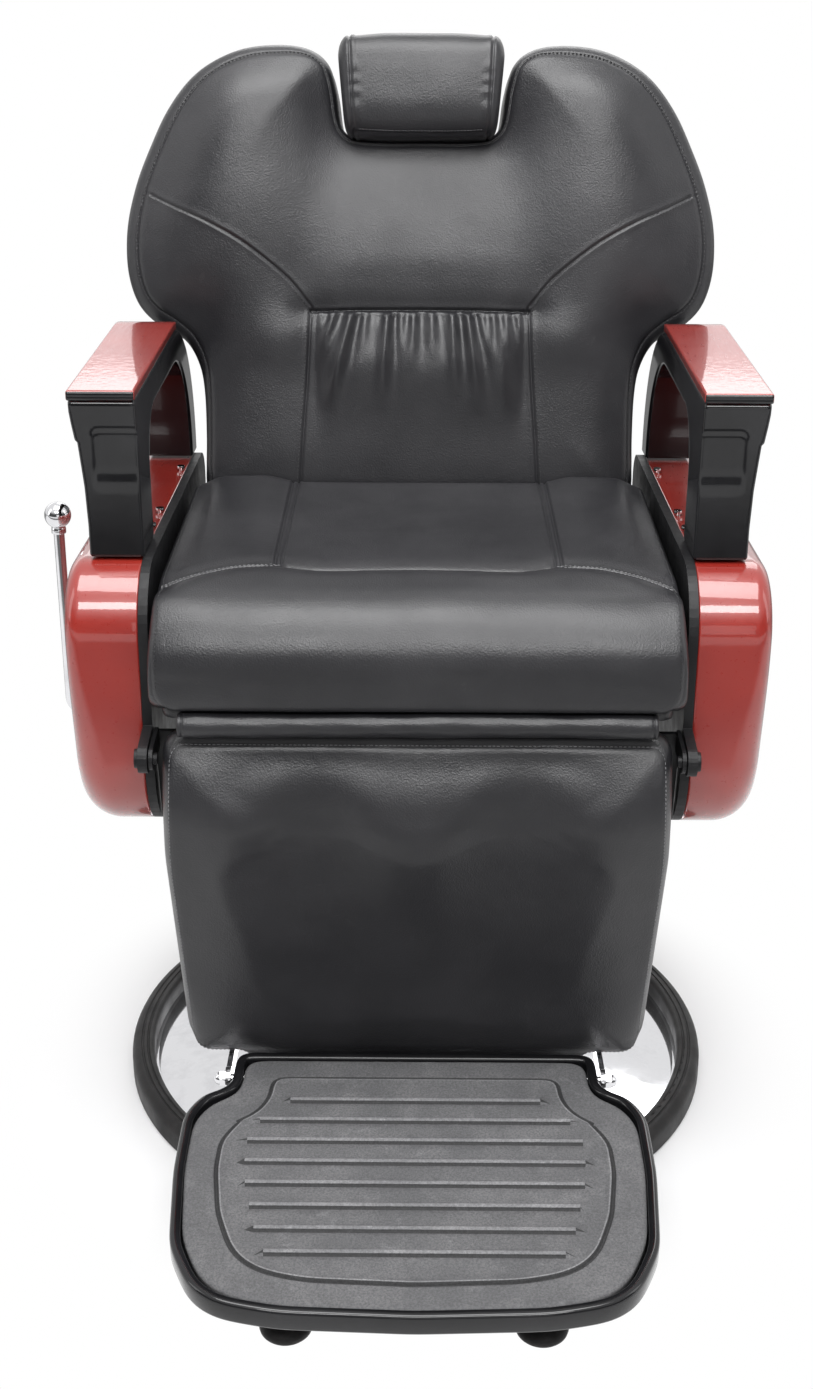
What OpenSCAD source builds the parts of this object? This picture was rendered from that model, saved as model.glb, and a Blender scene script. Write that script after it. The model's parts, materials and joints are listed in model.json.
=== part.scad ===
/* [Base] */
// Outer radius of the rubber floor ring
base_r = 345; // [330:1:365]
// Width of the ring's band
ring_w = 27; // [22:1:32]
// Height of the ring
ring_h = 34; // [28:1:40]
// Grooves around the ring
ring_grooves = 3; // [1:1:4]
// Thickness of the pressed dish
dish_t = 3; // [2:0.5:4]
// Height of the dish's flat hub above the floor
hub_z = 66; // [58:1:76]

/* [Pump] */
// Radius of the pump's outer tube
pump_r = 50; // [46:1:54]
// Radius of the pump's mounting flange
flange_r = 88; // [84:1:92]
// Radius of the lift piston
piston_r = 30; // [24:1:34]
// Outer radius of the fixed column cover
cover_r = 71; // [68:1:76]
// Height of the column cover's top edge
cover_top = 360; // [350:1:380]
// Stroke of the lift
lift_travel = 160; // [120:5:170]
// Height of the lift flange's underside, lowest
lift_z = 420; // [410:1:440]
// Length of the foot pedal behind its pivot
pedal_l = 270; // [250:5:300]

/* [Seat frame] */
// Height of the frame rails
rail_h = 98; // [90:1:110]
// Thickness of the plywood seat board
board_t = 12; // [9:1:15]
// Thickness of the black side panels
panel_t = 10; // [8:1:12]
// Inner face of the red side shells, from the middle
shell_in = 283; // [280:1:290]
// Width of a side shell
shell_w = 78; // [70:1:88]
// Wall of the side shells
shell_wall = 4; // [3:0.5:6]
// Front of the side shells, ahead of the lift axis
shell_front = 198; // [190:1:206]
// Rear of the side shells, behind the lift axis
shell_rear = 354; // [350:1:370]

/* [Armrests] */
// Height of the arm tops above the seat board
arm_h = 294; // [270:1:310]
// Front face of the front post, ahead of the lift axis
arm_front = 138; // [130:1:146]
// Depth of the front post
post_d = 78; // [66:1:90]
// Width of an arm's top
arm_w = 67; // [60:1:72]
// Width of an arm's foot
arm_foot_w = 55; // [50:1:60]
// Thickness of the lacquered caps
cap_t = 10; // [8:1:12]
// Depth of the arm's top rail below the cap
rail_d = 34; // [28:1:40]

/* [Cushions] */
// Half width of the seat at its seams
seat_hw = 265; // [256:1:268]
// Thickness of the seat cushion
seat_t = 115; // [100:1:130]
// Front of the seat cushion, ahead of the lift axis
seat_front = 246; // [240:1:250]
// Rear of the seat cushion, behind the lift axis
seat_rear = 196; // [180:1:197]
// Bulge of the seat's sides past the seams
seat_bulge = 6; // [2:1:7]
// Half width of the back at the lobes
back_hw = 348; // [330:1:360]
// Half width of the back between the arms
waist_hw = 257; // [245:1:262]
// Height of the back above the seat's rear edge
back_h = 503; // [480:1:540]
// Thickness of the back cushion at its edge
back_t = 84; // [70:1:95]
// Lean of the back at rest
back_lean = 15; // [12:1:18]
// Half width of the headrest pillow
pillow_hw = 97; // [90:1:99]
// Height of the headrest pillow
pillow_h = 114; // [90:1:118]
// Thickness of the headrest pillow
pillow_t = 84; // [70:1:90]
// Half width of the leg rest pad
leg_hw = 262; // [250:1:263]
// Length of the leg rest pad below its pivot
leg_l = 384; // [350:1:392]
// Lean of the leg rest at rest
leg_lean = 12; // [10:1:14]
// Thickness of the leg rest pad
leg_t = 56; // [48:1:58]
// Radius of the padded strip under the seat
roll_r = 12.5; // [10:0.5:13]

/* [Hinges] */
// Distance of the back and leg pivots from the lift axis
pivot_y = 235; // [230:1:240]
// Radius of the back shaft
shaft_r = 8; // [6:0.5:10]
// Running clearance of shafts and pins
fit = 0.06; // [0.03:0.01:0.1]
// Travel of the back when it reclines
recline = 50; // [40:1:50]
// Length of the lock crank
lock_crank = 60; // [54:1:62]
// Thickness of the link bars
link_t = 6; // [5:1:7]
// Radius of the link pins
link_pin_r = 5; // [4:0.5:6]

/* [Footrest] */
// Half width of the footrest plate
foot_hw = 247; // [230:1:250]
// Half width of the plate's neck
neck_hw = 199; // [185:1:200]
// Reach of the plate ahead of its pivot
foot_l = 360; // [340:1:375]
// Height of the plate's rim
plate_t = 22; // [18:1:24]
// Thickness of the rubber mat
mat_t = 5; // [4:0.5:7]
// Downward slope of the plate at rest
foot_slope = 4; // [2:0.5:5]
// Radius of the rubber feet
foot_r = 26; // [22:1:30]

/* [Lever] */
// Distance of the recline lever outside the shell
lever_out = 44; // [36:1:50]
// Length of the lever's upright rod
lever_l = 238; // [200:1:260]
// Radius of the lever's rod
lever_r = 6; // [5:0.5:7]
// Radius of the ball knob
ball_r = 15; // [12:1:18]

/* [Hidden] */
$fn = 64;

leather = [0.24, 0.24, 0.25];
gloss = [0.09, 0.09, 0.10];
red = [0.60, 0.16, 0.14];
chrome = [0.80, 0.81, 0.83];
steel = [0.45, 0.46, 0.48];
rubber = [0.16, 0.16, 0.17];
wood = [0.72, 0.56, 0.38];

// Heights of the seat's stack, from the lift upwards
flange_t = 12;
washer_t = 2;
plate_z = lift_z + flange_t + washer_t;
swivel_t = 8;
board_z = plate_z + swivel_t + rail_h;
deck = board_z + board_t;
seat_top = deck + seat_t;

// Side profile of the shells
shell_drop = 172;
shell_rise = 133;
shell_fall = 21;
shell_out = shell_in + shell_w;
panel_in = shell_in - panel_t;

// Pivots, as [y, z]
back_pivot = [pivot_y, deck + 8];
leg_pivot = [-pivot_y, deck - 52];
crank = [68, -30];
link_in = 236;
lever_pivot = [50, deck - 122];
lock_x = 150;
crank_half = recline / 2;
back_datum = [0, seat_rear + 17, seat_top + 2];

// Footrest pivot, as [y, z]: this far under the leg rest's lower edge
foot_drop = 12.4;
foot_pivot = [-pivot_y + 3, leg_pivot.y - leg_l * cos(leg_lean) - foot_drop];

function unit(v) = v / norm(v);
function mix(a, b, t) = a + (b - a) * t;
function smooth(t) = t * t * (3 - 2 * t);
function ramp(a, b, v) = smooth(min(1, max(0, (v - a) / (b - a))));
function bump(c, w, v) = exp(-pow((v - c) / w, 2));
function turn(p, a) = [p.x * cos(a) - p.y * sin(a), p.x * sin(a) + p.y * cos(a)];

// Arc of radius r that rounds the corner p1 between p0 and p2
function corner(p0, p1, p2, r, n) = r <= 0 ? [p1] :
  let (a = unit(p0 - p1), b = unit(p2 - p1), half = acos(a * b) / 2)
  let (c = p1 + unit(a + b) * r / sin(half), s = p1 + a * r / tan(half), e = p1 + b * r / tan(half))
  let (a0 = atan2(s.y - c.y, s.x - c.x), a1 = atan2(e.y - c.y, e.x - c.x))
  let (turned = (a1 - a0 + 540) % 360 - 180)
  [for (i = [0:n]) c + r * [cos(a0 + turned * i / n), sin(a0 + turned * i / n)]];
function round_poly(pts, radii, n = 8) = let (m = len(pts))
  [for (i = [0:m - 1]) each corner(pts[(i + m - 1) % m], pts[i], pts[(i + 1) % m], radii[i], n)];

// A profile drawn in [y, z], extruded along x from x0 to x1
module side_plate(x0, x1) {
  translate([x0, 0, 0]) rotate([90, 0, 90]) linear_extrude(x1 - x0) children();
}
// A rod along x, from x0 to x1, at [y, z]
module rod_x(p, r, x0, x1) {
  translate([x0, p.x, p.y]) rotate([0, 90, 0]) cylinder(r = r, h = x1 - x0);
}
// Outline of a flat strap with half width r and round ends, along the points of a path
function heading(a, b) = atan2(b.y - a.y, b.x - a.x);
function arc_points(c, r, a0, a1, n = 12) =
  [for (i = [0:n]) c + r * [cos(mix(a0, a1, i / n)), sin(mix(a0, a1, i / n))]];
function mitre(p, i, r) = let (u = unit(p[i] - p[i - 1]), v = unit(p[i + 1] - p[i]))
  let (n1 = [-u.y, u.x], n = unit(n1 + [-v.y, v.x])) p[i] + n * r / (n * n1);
function strap(p, r) = let (m = len(p), h0 = heading(p[0], p[1]), h1 = heading(p[m - 2], p[m - 1]))
  concat(arc_points(p[0], r, h0 + 90, h0 + 270), [for (i = [1:1:m - 2]) mitre(p, i, -r)],
    arc_points(p[m - 1], r, h1 - 90, h1 + 90), [for (i = [m - 2:-1:1]) mitre(p, i, r)]);
module bar(a, b, r) {
  polygon(strap([a, b], r));
}

// ---- closed soft forms -------------------------------------------------
// A pad from a front grid, a back grid and one loop of points round the middle of its edge.
// Grids are indexed [column][row].
function edge_loop(g) = let (c = len(g), r = len(g[0])) concat(
  [for (i = [0:c - 1]) [i, 0]], [for (j = [1:r - 1]) [c - 1, j]],
  [for (i = [c - 2:-1:0]) [i, r - 1]], [for (j = [r - 2:-1:1]) [0, j]]);
module pad(front, back, swell) {
  c = len(front);
  r = len(front[0]);
  loop = edge_loop(front);
  m = len(loop);
  ring = [for (k = [0:m - 1]) let (i = loop[k].x, j = loop[k].y)
    (front[i][j] + back[i][j]) / 2 + swell[k]];
  pts = concat([for (col = front) each col], [for (col = back) each col], ring);
  sheet = [for (i = [0:c - 2], j = [0:r - 2]) let (a = i * r + j)
    each [[a, a + r, a + r + 1], [a, a + r + 1, a + 1]]];
  under = [for (f = sheet) [f[0] + c * r, f[2] + c * r, f[1] + c * r]];
  wall = [for (k = [0:m - 1]) let (p = loop[k], q = loop[(k + 1) % m])
    let (a = p.x * r + p.y, b = q.x * r + q.y, s = 2 * c * r + k, t = 2 * c * r + (k + 1) % m)
    each [[a, s, t], [a, t, b], [s, a + c * r, b + c * r], [s, b + c * r, t]]];
  polyhedron(points = pts, faces = concat(sheet, under, wall), convexity = 6);
}
// A closed form lofted through equal rings of points, with a fan on each end
module loft(rings) {
  n = len(rings);
  m = len(rings[0]);
  ends = [for (e = [rings[0], rings[n - 1]]) [for (k = [0:2]) [for (p = e) p[k]]]];
  mid = [for (e = ends) [for (v = e) v * [for (p = v) 1] / m]];
  pts = concat([for (g = rings) each g], mid);
  skin = [for (i = [0:n - 2], j = [0:m - 1]) let (a = i * m + j, b = i * m + (j + 1) % m)
    each [[a, b, b + m], [a, b + m, a + m]]];
  cap0 = [for (j = [0:m - 1]) [(j + 1) % m, j, n * m]];
  cap1 = [for (j = [0:m - 1]) [(n - 1) * m + j, (n - 1) * m + (j + 1) % m, n * m + 1]];
  polyhedron(points = pts, faces = concat(skin, cap0, cap1), convexity = 4);
}

// ---- base --------------------------------------------------------------
groove_r = 1.6;
ring_in = base_r - ring_w;
hub_r = flange_r + 4;
foot_pad_r = 62;
foot_pad_t = 9;
bore_z = 30;
module base_ring() {
  color(rubber) rotate_extrude($fn = 128) difference() {
    polygon(round_poly([[ring_in, 0], [base_r, 0], [base_r, ring_h], [ring_in, ring_h]],
      [2, 4, 12, 6], 5));
    for (i = [1:ring_grooves])
      translate([ring_in + ring_w * i / (ring_grooves + 1) + 1, ring_h]) circle(groove_r, $fn = 16);
    translate([ring_in - 1, 8]) square([9, dish_t + 0.4]);
  }
}
rim_z = 8.2;
function dish_z(s) = rim_z + (hub_z - dish_t - rim_z) * (1 - pow(s, 0.55));
module base_dish() {
  rim = ring_in + 6;
  steps = 18;
  slope = [for (i = [0:steps]) let (s = i / steps)
    [mix(hub_r, ring_in - 4, s), dish_z(s)]];
  color(chrome) rotate_extrude($fn = 128)
    polygon(concat([[pump_r + 0.3, hub_z - dish_t]], slope, [[rim, rim_z], [rim, rim_z + dish_t]],
      [for (i = [steps:-1:0]) slope[i] + [0, dish_t]], [[pump_r + 0.3, hub_z]]));
}
bolt_ring = (flange_r + cover_r) / 2;
pump_head_w = 44;
pump_top = cover_top - 30;
pedal_pivot = [flange_r + 14, hub_z + 20];
module pump_cylinder() {
  wall_top = hub_z + 9;
  color(steel) difference() {
    union() {
      cylinder(r = foot_pad_r, h = foot_pad_t);
      cylinder(r = pump_r, h = pump_top);
      translate([0, 0, hub_z]) cylinder(r = flange_r, h = wall_top - hub_z);
      translate([-pump_head_w / 2, pump_r - 6, hub_z]) cube([pump_head_w, flange_r - pump_r + 6, 22]);
      for (sx = [-1, 1]) translate([sx * (pump_head_w / 2 - 5), 0, 0])
        side_plate(-5, 5) difference() {
          union() {
            bar([flange_r - 6, hub_z + 12], pedal_pivot, 11);
            translate([flange_r - 18, hub_z]) square([18, 26]);
          }
          translate(pedal_pivot) circle(5);
        }
    }
    translate([0, 0, bore_z]) cylinder(r = piston_r + fit, h = pump_top);
    for (a = [45:90:315]) rotate(a) translate([bolt_ring, 0, hub_z - 1]) cylinder(r = 4.1, h = 20);
  }
}
module pump_bolts() {
  color(steel) {
    for (a = [45:90:315]) rotate(a) translate([bolt_ring, 0, hub_z + 9]) {
      cylinder(r = 6.6, h = 6, $fn = 6);
      translate([0, 0, -9]) cylinder(r = 4, h = 10);
    }
    rod_x(pedal_pivot, 5 - fit, -pump_head_w / 2 - 3, pump_head_w / 2 + 3);
  }
}
cover_t = 2.5;
module column_cover() {
  color(chrome) difference() {
    translate([0, 0, hub_z + 9]) cylinder(r = cover_r, h = cover_top - hub_z - 9);
    translate([0, 0, hub_z]) cylinder(r = cover_r - cover_t, h = cover_top);
    translate([-pump_head_w / 2 - 1, 0, hub_z]) cube([pump_head_w + 2, flange_r, 24]);
  }
}
sleeve_r = cover_r - cover_t - 5;
module cover_collar() {
  color(gloss) translate([0, 0, cover_top]) difference() {
    cylinder(r = cover_r, h = 8);
    translate([0, 0, -1]) cylinder(r = sleeve_r + 0.4, h = 10);
  }
}

// ---- pedal -------------------------------------------------------------
pedal_gap = pump_head_w / 2 - 10.5;
pedal_w = 2 * pedal_gap;
pedal_end = pedal_pivot + [pedal_l, -20];
module pedal_arm() {
  knee = pedal_pivot + [pedal_l * 0.5, -5];
  level = pedal_end - [52, 0];
  color(chrome) side_plate(-pedal_gap, pedal_gap) difference() {
    union() {
      polygon(strap([pedal_pivot, knee, level, pedal_end], 6.5));
      translate(pedal_pivot) circle(11);
    }
    translate(pedal_pivot) circle(5 + fit);
  }
}
module pedal_pad() {
  seat = pedal_end.y + 6.5;
  color(rubber) translate([0, pedal_end.x - 20, seat]) difference() {
    linear_extrude(12) polygon(round_poly([[-38, -28], [38, -28], [38, 28], [-38, 28]],
      [9, 9, 9, 9], 5));
    for (i = [-3:3]) translate([-32, i * 7 - 1, 10]) cube([64, 2, 3]);
  }
}

// ---- lift --------------------------------------------------------------
spigot_r = 20;
spigot_h = 26;
module lift_piston() {
  color(steel) {
    translate([0, 0, bore_z + 10]) cylinder(r = piston_r, h = lift_z - bore_z - 10);
    translate([0, 0, lift_z]) cylinder(r = cover_r - 6, h = flange_t);
    translate([0, 0, lift_z + flange_t]) cylinder(r = spigot_r, h = spigot_h);
  }
}
module lift_sleeve() {
  sleeve_l = lift_travel + 60;
  color(chrome) translate([0, 0, lift_z - sleeve_l]) difference() {
    cylinder(r = sleeve_r, h = sleeve_l);
    translate([0, 0, -1]) cylinder(r = sleeve_r - cover_t, h = sleeve_l + 2);
  }
}
module swivel_washer() {
  color(gloss) translate([0, 0, lift_z + flange_t]) difference() {
    cylinder(r = cover_r - 8, h = washer_t);
    translate([0, 0, -1]) cylinder(r = spigot_r + 0.5, h = washer_t + 2);
  }
}

// ---- seat frame --------------------------------------------------------
swivel_hw = 120;
rail_x = 96;
rail_t = 5;
rail_f = 30;
bar_r = 9;
front_bar = [-146, deck - 24];
rear_bar = [120, deck - 24];
module swivel_plate() {
  color(steel) difference() {
    union() {
      translate([0, 0, plate_z]) linear_extrude(swivel_t)
        polygon(round_poly([[-swivel_hw, -swivel_hw], [swivel_hw, -swivel_hw],
          [swivel_hw, swivel_hw], [-swivel_hw, swivel_hw]], [20, 20, 20, 20], 5));
      translate([0, 0, plate_z + swivel_t]) cylinder(r = spigot_r + 14, h = spigot_h - washer_t - swivel_t);
    }
    translate([0, 0, plate_z - 1]) cylinder(r = spigot_r + fit, h = spigot_h + 10);
  }
}
// A C-shaped rail from front to back, open towards the middle
module frame_rail(side) {
  z0 = plate_z + swivel_t;
  y0 = front_bar.x - 24;
  y1 = rear_bar.x + 30;
  color(gloss) mirror([side < 0 ? 1 : 0, 0, 0]) difference() {
    translate([rail_x, y0, z0]) cube([rail_f, y1 - y0, rail_h]);
    translate([rail_x - 1, y0 - 1, z0 + rail_t])
      cube([rail_f - rail_t + 1, y1 - y0 + 2, rail_h - 2 * rail_t]);
    for (p = [front_bar, rear_bar]) rod_x(p, bar_r, 0, rail_x + rail_f + 1);
  }
}
module crossbar(p) {
  color(gloss) difference() {
    rod_x(p, bar_r, -panel_in, panel_in);
    rod_x(p, bar_r - 2.5, -panel_in - 1, panel_in + 1);
  }
}
module seat_board() {
  hw = seat_hw - 7;
  front = roll_pos.x + roll_r + 0.3;
  color(wood) translate([0, 0, board_z]) linear_extrude(board_t)
    polygon(round_poly([[-hw, front], [hw, front], [hw, seat_rear - 8], [-hw, seat_rear - 8]],
      [16, 16, 8, 8], 5));
}

// ---- seat cushion ------------------------------------------------------
front_r = 62;
seam_x = 149;
// Section of the seat's upper side at s: 0 at the rear, 1 at the lower front edge
function seat_path(s) = let (flat = seat_rear + seat_front - front_r, arc = front_r * PI / 2)
  let (drop = seat_t - front_r, d = s * (flat + arc + drop))
  d < flat ? [seat_rear - d, seat_top, 0] :
  d < flat + arc ? let (a = (d - flat) / arc * 90)
    [-(seat_front - front_r) - front_r * sin(a), seat_top - front_r * (1 - cos(a)), a] :
    [-seat_front, seat_top - front_r - (d - flat - arc), 90];
seat_cols = [-1, -0.985, -0.94, -0.86, -0.74, -0.62, -0.575, -0.562, -0.549, -0.5, -0.36, -0.18, 0,
  0.18, 0.36, 0.5, 0.549, 0.562, 0.575, 0.62, 0.74, 0.86, 0.94, 0.985, 1];
seat_rows = [0, 0.03, 0.1, 0.22, 0.34, 0.44, 0.53, 0.58, 0.63, 0.68, 0.73, 0.78, 0.83, 0.88, 0.94, 1];
function seat_rise(t, s) = let (edge = 1 - pow(abs(t), 10), side = ramp(0, 0.08, s) * ramp(1, 0.93, s))
  9 * edge * side * (1 - pow(t, 2) * 0.5) - 9 * (1 - edge)
  - 4 * bump(seam_x / seat_hw, 0.022, abs(t)) * ramp(0.6, 0.52, s)
  - 3.5 * bump(mix(0.585, 0.63, ramp(0.56, 1, abs(t))), 0.03, s) - 8 * (1 - ramp(0, 0.03, s));
module seat_cushion() {
  lift = 0.5;
  front = [for (t = seat_cols) [for (s = seat_rows)
    let (p = seat_path(s), n = [-sin(p.z), cos(p.z)], h = seat_rise(t, s))
    [t * seat_hw, p.x + n.x * h * 0.7, p.y + n.y * h]]];
  back = [for (t = seat_cols) [for (s = seat_rows)
    [t * (seat_hw - 2), mix(seat_rear - 4, -seat_front + 6, s), deck + lift]]];
  loop = edge_loop(front);
  swell = [for (k = loop) [k.x == 0 ? -seat_bulge : k.x == len(seat_cols) - 1 ? seat_bulge : 0,
    k.y == 0 ? 1 : k.y == len(seat_rows) - 1 ? -2 : 0, 0]];
  color(leather) pad(front, back, swell);
}
roll_hw = 242;
roll_pos = [-pivot_y, deck - roll_r - 2];
module front_roll() {
  rings = [for (t = [-1, -0.985, -0.95, -0.6, -0.2, 0.2, 0.6, 0.95, 0.985, 1])
    let (k = sqrt(max(0.12, 1 - pow(max(0, abs(t) - 0.95) / 0.052, 2))))
    [for (i = [0:15]) let (a = i * 22.5) [t * roll_hw, roll_pos.x + roll_r * k * cos(a),
      roll_pos.y + roll_r * k * sin(a) * 1.05 + 0.6]]];
  color(leather) loft(rings);
}

// ---- side panels, shells and arms --------------------------------------
shell_low = deck - shell_drop;
function shell_top(y) = deck + shell_rise - shell_fall * (y + shell_front) / (shell_front + shell_rear);
function shell_profile(inset) = round_poly(
  [[-shell_front + inset, shell_top(-shell_front) - inset], [-shell_front - 2 + inset, shell_low + inset],
   [shell_rear - inset, shell_low + inset], [shell_rear - inset, shell_top(shell_rear) - inset]],
  [70 - inset, 92 - inset, 120 - inset, 36 - inset], 12);
lug_r = 15;
lever_hole = lever_r + 2.5;
module side_panel(side) {
  color(gloss) mirror([side < 0 ? 1 : 0, 0, 0]) difference() {
    union() {
      side_plate(panel_in, shell_in) polygon(shell_profile(0.5));
      side_plate(panel_in, shell_in) bar(leg_pivot, leg_pivot + [70, 10], lug_r);
    }
    rod_x(leg_pivot, 6, panel_in - 1, shell_in + 1);
    rod_x(back_pivot, shaft_r + fit, panel_in - 1, shell_in + 1);
    for (p = [front_bar, rear_bar]) rod_x(p, 5, panel_in - 1, shell_in + 1);
    if (side < 0) rod_x(lever_pivot, lever_hole, panel_in - 1, shell_in + 1);
  }
}
screw_x = shell_in + 6;
screw_y = [-20, 45, 240];
// A hollow cover, open towards the panel, with a rounded outer face
module side_shell(side) {
  w = shell_wall;
  round_in = 16;
  color(red) mirror([side < 0 ? 1 : 0, 0, 0]) difference() {
    hull() {
      side_plate(shell_in, shell_out - round_in) polygon(shell_profile(0));
      side_plate(shell_out - 5, shell_out - 4.9) polygon(shell_profile(5));
      side_plate(shell_out - 0.1, shell_out) polygon(shell_profile(round_in));
    }
    hull() {
      side_plate(shell_in - 1, shell_out - round_in) polygon(shell_profile(w));
      side_plate(shell_out - w - 0.1, shell_out - w) polygon(shell_profile(round_in + w));
    }
    if (side < 0) rod_x(lever_pivot, lever_hole, shell_out - 30, shell_out + 5);
    for (y = screw_y) translate([screw_x, y, shell_top(y) - w - 4]) cylinder(r = 2.6, h = w + 8);
  }
}
arm_top = deck + arm_h;
arm_rear = shell_rear - 12;
arm_leg = 42;
arch_r = 135;
kink_z = arm_top - 41;
arm_out = shell_in + arm_w;
module arm_side() {
  z1 = arm_top;
  difference() {
    polygon(round_poly([[-arm_front, shell_top(-arm_front)], [-arm_front, z1], [arm_rear, z1],
      [arm_rear, shell_top(arm_rear)]], [0, 5, 165, 0], 20));
    polygon(round_poly([[-arm_front + post_d, deck], [-arm_front + post_d, z1 - rail_d],
      [arm_rear - arm_leg, z1 - rail_d], [arm_rear - arm_leg, deck]], [0, 58, arch_r, 0], 16));
  }
}
// Outer edge of an arm seen from the front, from the foot up
foot_x = shell_in + arm_foot_w;
module arm_section() {
  waist = arm_top - 90;
  polygon([[shell_in - 2, deck], [foot_x, deck], [foot_x - 1, mix(deck, waist, 0.8)],
    [foot_x + 1, waist], [foot_x + 3, waist + 22], [foot_x + 5.5, kink_z - 0.5],
    [foot_x + 7.5, kink_z], [arm_out - 1.5, arm_top - 24], [arm_out, arm_top - 10],
    [arm_out, arm_top + 1], [shell_in, arm_top + 1], [shell_in - 1, kink_z]]);
}
module arm(side) {
  color(gloss) mirror([side < 0 ? 1 : 0, 0, 0]) difference() {
    intersection() {
      side_plate(shell_in - 5, arm_out + 5) arm_side();
      rotate([90, 0, 0]) translate([0, 0, -arm_rear - 5]) linear_extrude(arm_rear + arm_front + 10)
        arm_section();
    }
    translate([shell_in + 5, -arm_front - 1, arm_top - 88]) cube([40, 5, 58]);
  }
}
module arm_cap(side) {
  over = 2.5;
  wrap = 165;
  color(red) mirror([side < 0 ? 1 : 0, 0, 0])
    side_plate(shell_in - 0.5, arm_out + 1) intersection() {
      difference() {
        polygon(round_poly([[-arm_front - over, arm_top], [-arm_front - over, arm_top + cap_t],
          [arm_rear + cap_t, arm_top + cap_t], [arm_rear + cap_t, deck]], [0, 5, wrap + cap_t, 0], 20));
        polygon(round_poly([[-arm_front - 50, deck], [-arm_front - 50, arm_top], [arm_rear, arm_top],
          [arm_rear, deck]], [0, 0, wrap, 0], 20));
      }
      translate([-arm_front - 10, deck]) square([arm_front + 215, arm_h + 40]);
    }
}
module shell_screws() {
  color(chrome) for (side = [0, 1]) mirror([side, 0, 0]) {
    for (y = screw_y) translate([screw_x, y, shell_top(y) + 0.2]) {
      cylinder(r = 4.5, h = 3);
      translate([0, 0, -shell_wall - 3]) cylinder(r = 2.5, h = shell_wall + 4);
    }
    for (p = [front_bar, rear_bar]) {
      rod_x(p, 9, shell_in, shell_in + 5);
      rod_x(p, 5, panel_in - 16, shell_in + 1);
    }
  }
}
module leg_pivot_pins() {
  color(steel) for (side = [0, 1]) mirror([side, 0, 0]) {
    rod_x(leg_pivot, 6, ear_in - 3, shell_in);
    rod_x(leg_pivot, 10, shell_in, shell_in + 4);
  }
}

// ---- recline lock and lever --------------------------------------------
lock_r = 14;
lock_y = [30, 158];
lock_z = back_pivot.y - lock_crank * (1 + cos(crank_half)) / 2;
rod_r = 5;
lock_pin_r = 5;
module lock_cylinder() {
  color(steel) translate([-lock_x, 0, 0]) difference() {
    union() {
      translate([0, lock_y[0], lock_z]) rotate([-90, 0, 0]) cylinder(r = lock_r, h = lock_y[1] - lock_y[0]);
      translate([-20, lever_pivot.x - 16, lever_pivot.y - 16]) cube([40, 32, lock_z - lever_pivot.y + 16]);
      translate([-14, lock_y[0] + 14, lock_z + 8]) cube([28, 34, board_z - lock_z - 8]);
    }
    translate([0, lock_y[0] + 14, lock_z]) rotate([-90, 0, 0]) cylinder(r = rod_r + fit, h = lock_y[1]);
    rod_x(lever_pivot, lever_r + fit, -30, 6);
  }
}
// Lock crank's pin at rest, as [y, z]
lock_pin = back_pivot + lock_crank * [sin(crank_half), -cos(crank_half)];
slot_w = 2 * lock_pin_r + 1.4;
module lock_rod() {
  head = 15;
  color(chrome) translate([-lock_x, 0, 0]) {
    difference() {
      side_plate(-6, 6) translate([lock_pin.x - head, lock_z - 15]) square([2 * head, 30]);
      side_plate(-7, 7) translate([lock_pin.x - slot_w / 2, lock_z - 10]) square([slot_w, 20]);
    }
    translate([0, lock_y[1] - 50, lock_z]) rotate([-90, 0, 0])
      cylinder(r = rod_r, h = lock_pin.x - head - lock_y[1] + 52);
  }
}
lever_x = shell_out + lever_out;
knob_z = lever_pivot.y + lever_l;
module recline_lever() {
  bend = 16;
  color(chrome) translate([0, lever_pivot.x, lever_pivot.y]) {
    translate([-lever_x + bend, 0, 0]) rotate([0, 90, 0])
      cylinder(r = lever_r, h = lever_x - bend - lock_x - 14);
    translate([-lever_x + bend, 0, bend]) rotate([90, 0, 0]) rotate(180) rotate_extrude(angle = 90)
      translate([bend, 0]) circle(lever_r);
    translate([-lever_x, 0, bend]) cylinder(r = lever_r, h = lever_l - bend - ball_r + 3);
    translate([-lever_x, 0, lever_l - ball_r - 5]) cylinder(r = lever_r + 2, h = 6);
  }
}
module lever_knob() {
  color(chrome) difference() {
    translate([-lever_x, lever_pivot.x, knob_z]) sphere(ball_r);
    translate([-lever_x, lever_pivot.x, knob_z - ball_r - 8]) cylinder(r = lever_r, h = 11);
    translate([-lever_x, lever_pivot.x, knob_z - ball_r - 8]) cylinder(r = lever_r + 2, h = 9);
  }
}

// ---- back --------------------------------------------------------------
// Everything on the back is drawn upright in its own frame: y = 0 is the seam plane,
// z = 0 is level with the seat's rear edge
module on_back() {
  translate(back_datum) rotate([-back_lean, 0, 0]) children();
}
back_low = -40;
notch_d = 113;
notch_z = back_h - notch_d;
notch_hw = pillow_hw + 9;
notch_in = notch_hw - 12;
lobe_low = 184;
lobe_mid = 262;
back_end = back_low + back_t;
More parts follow.
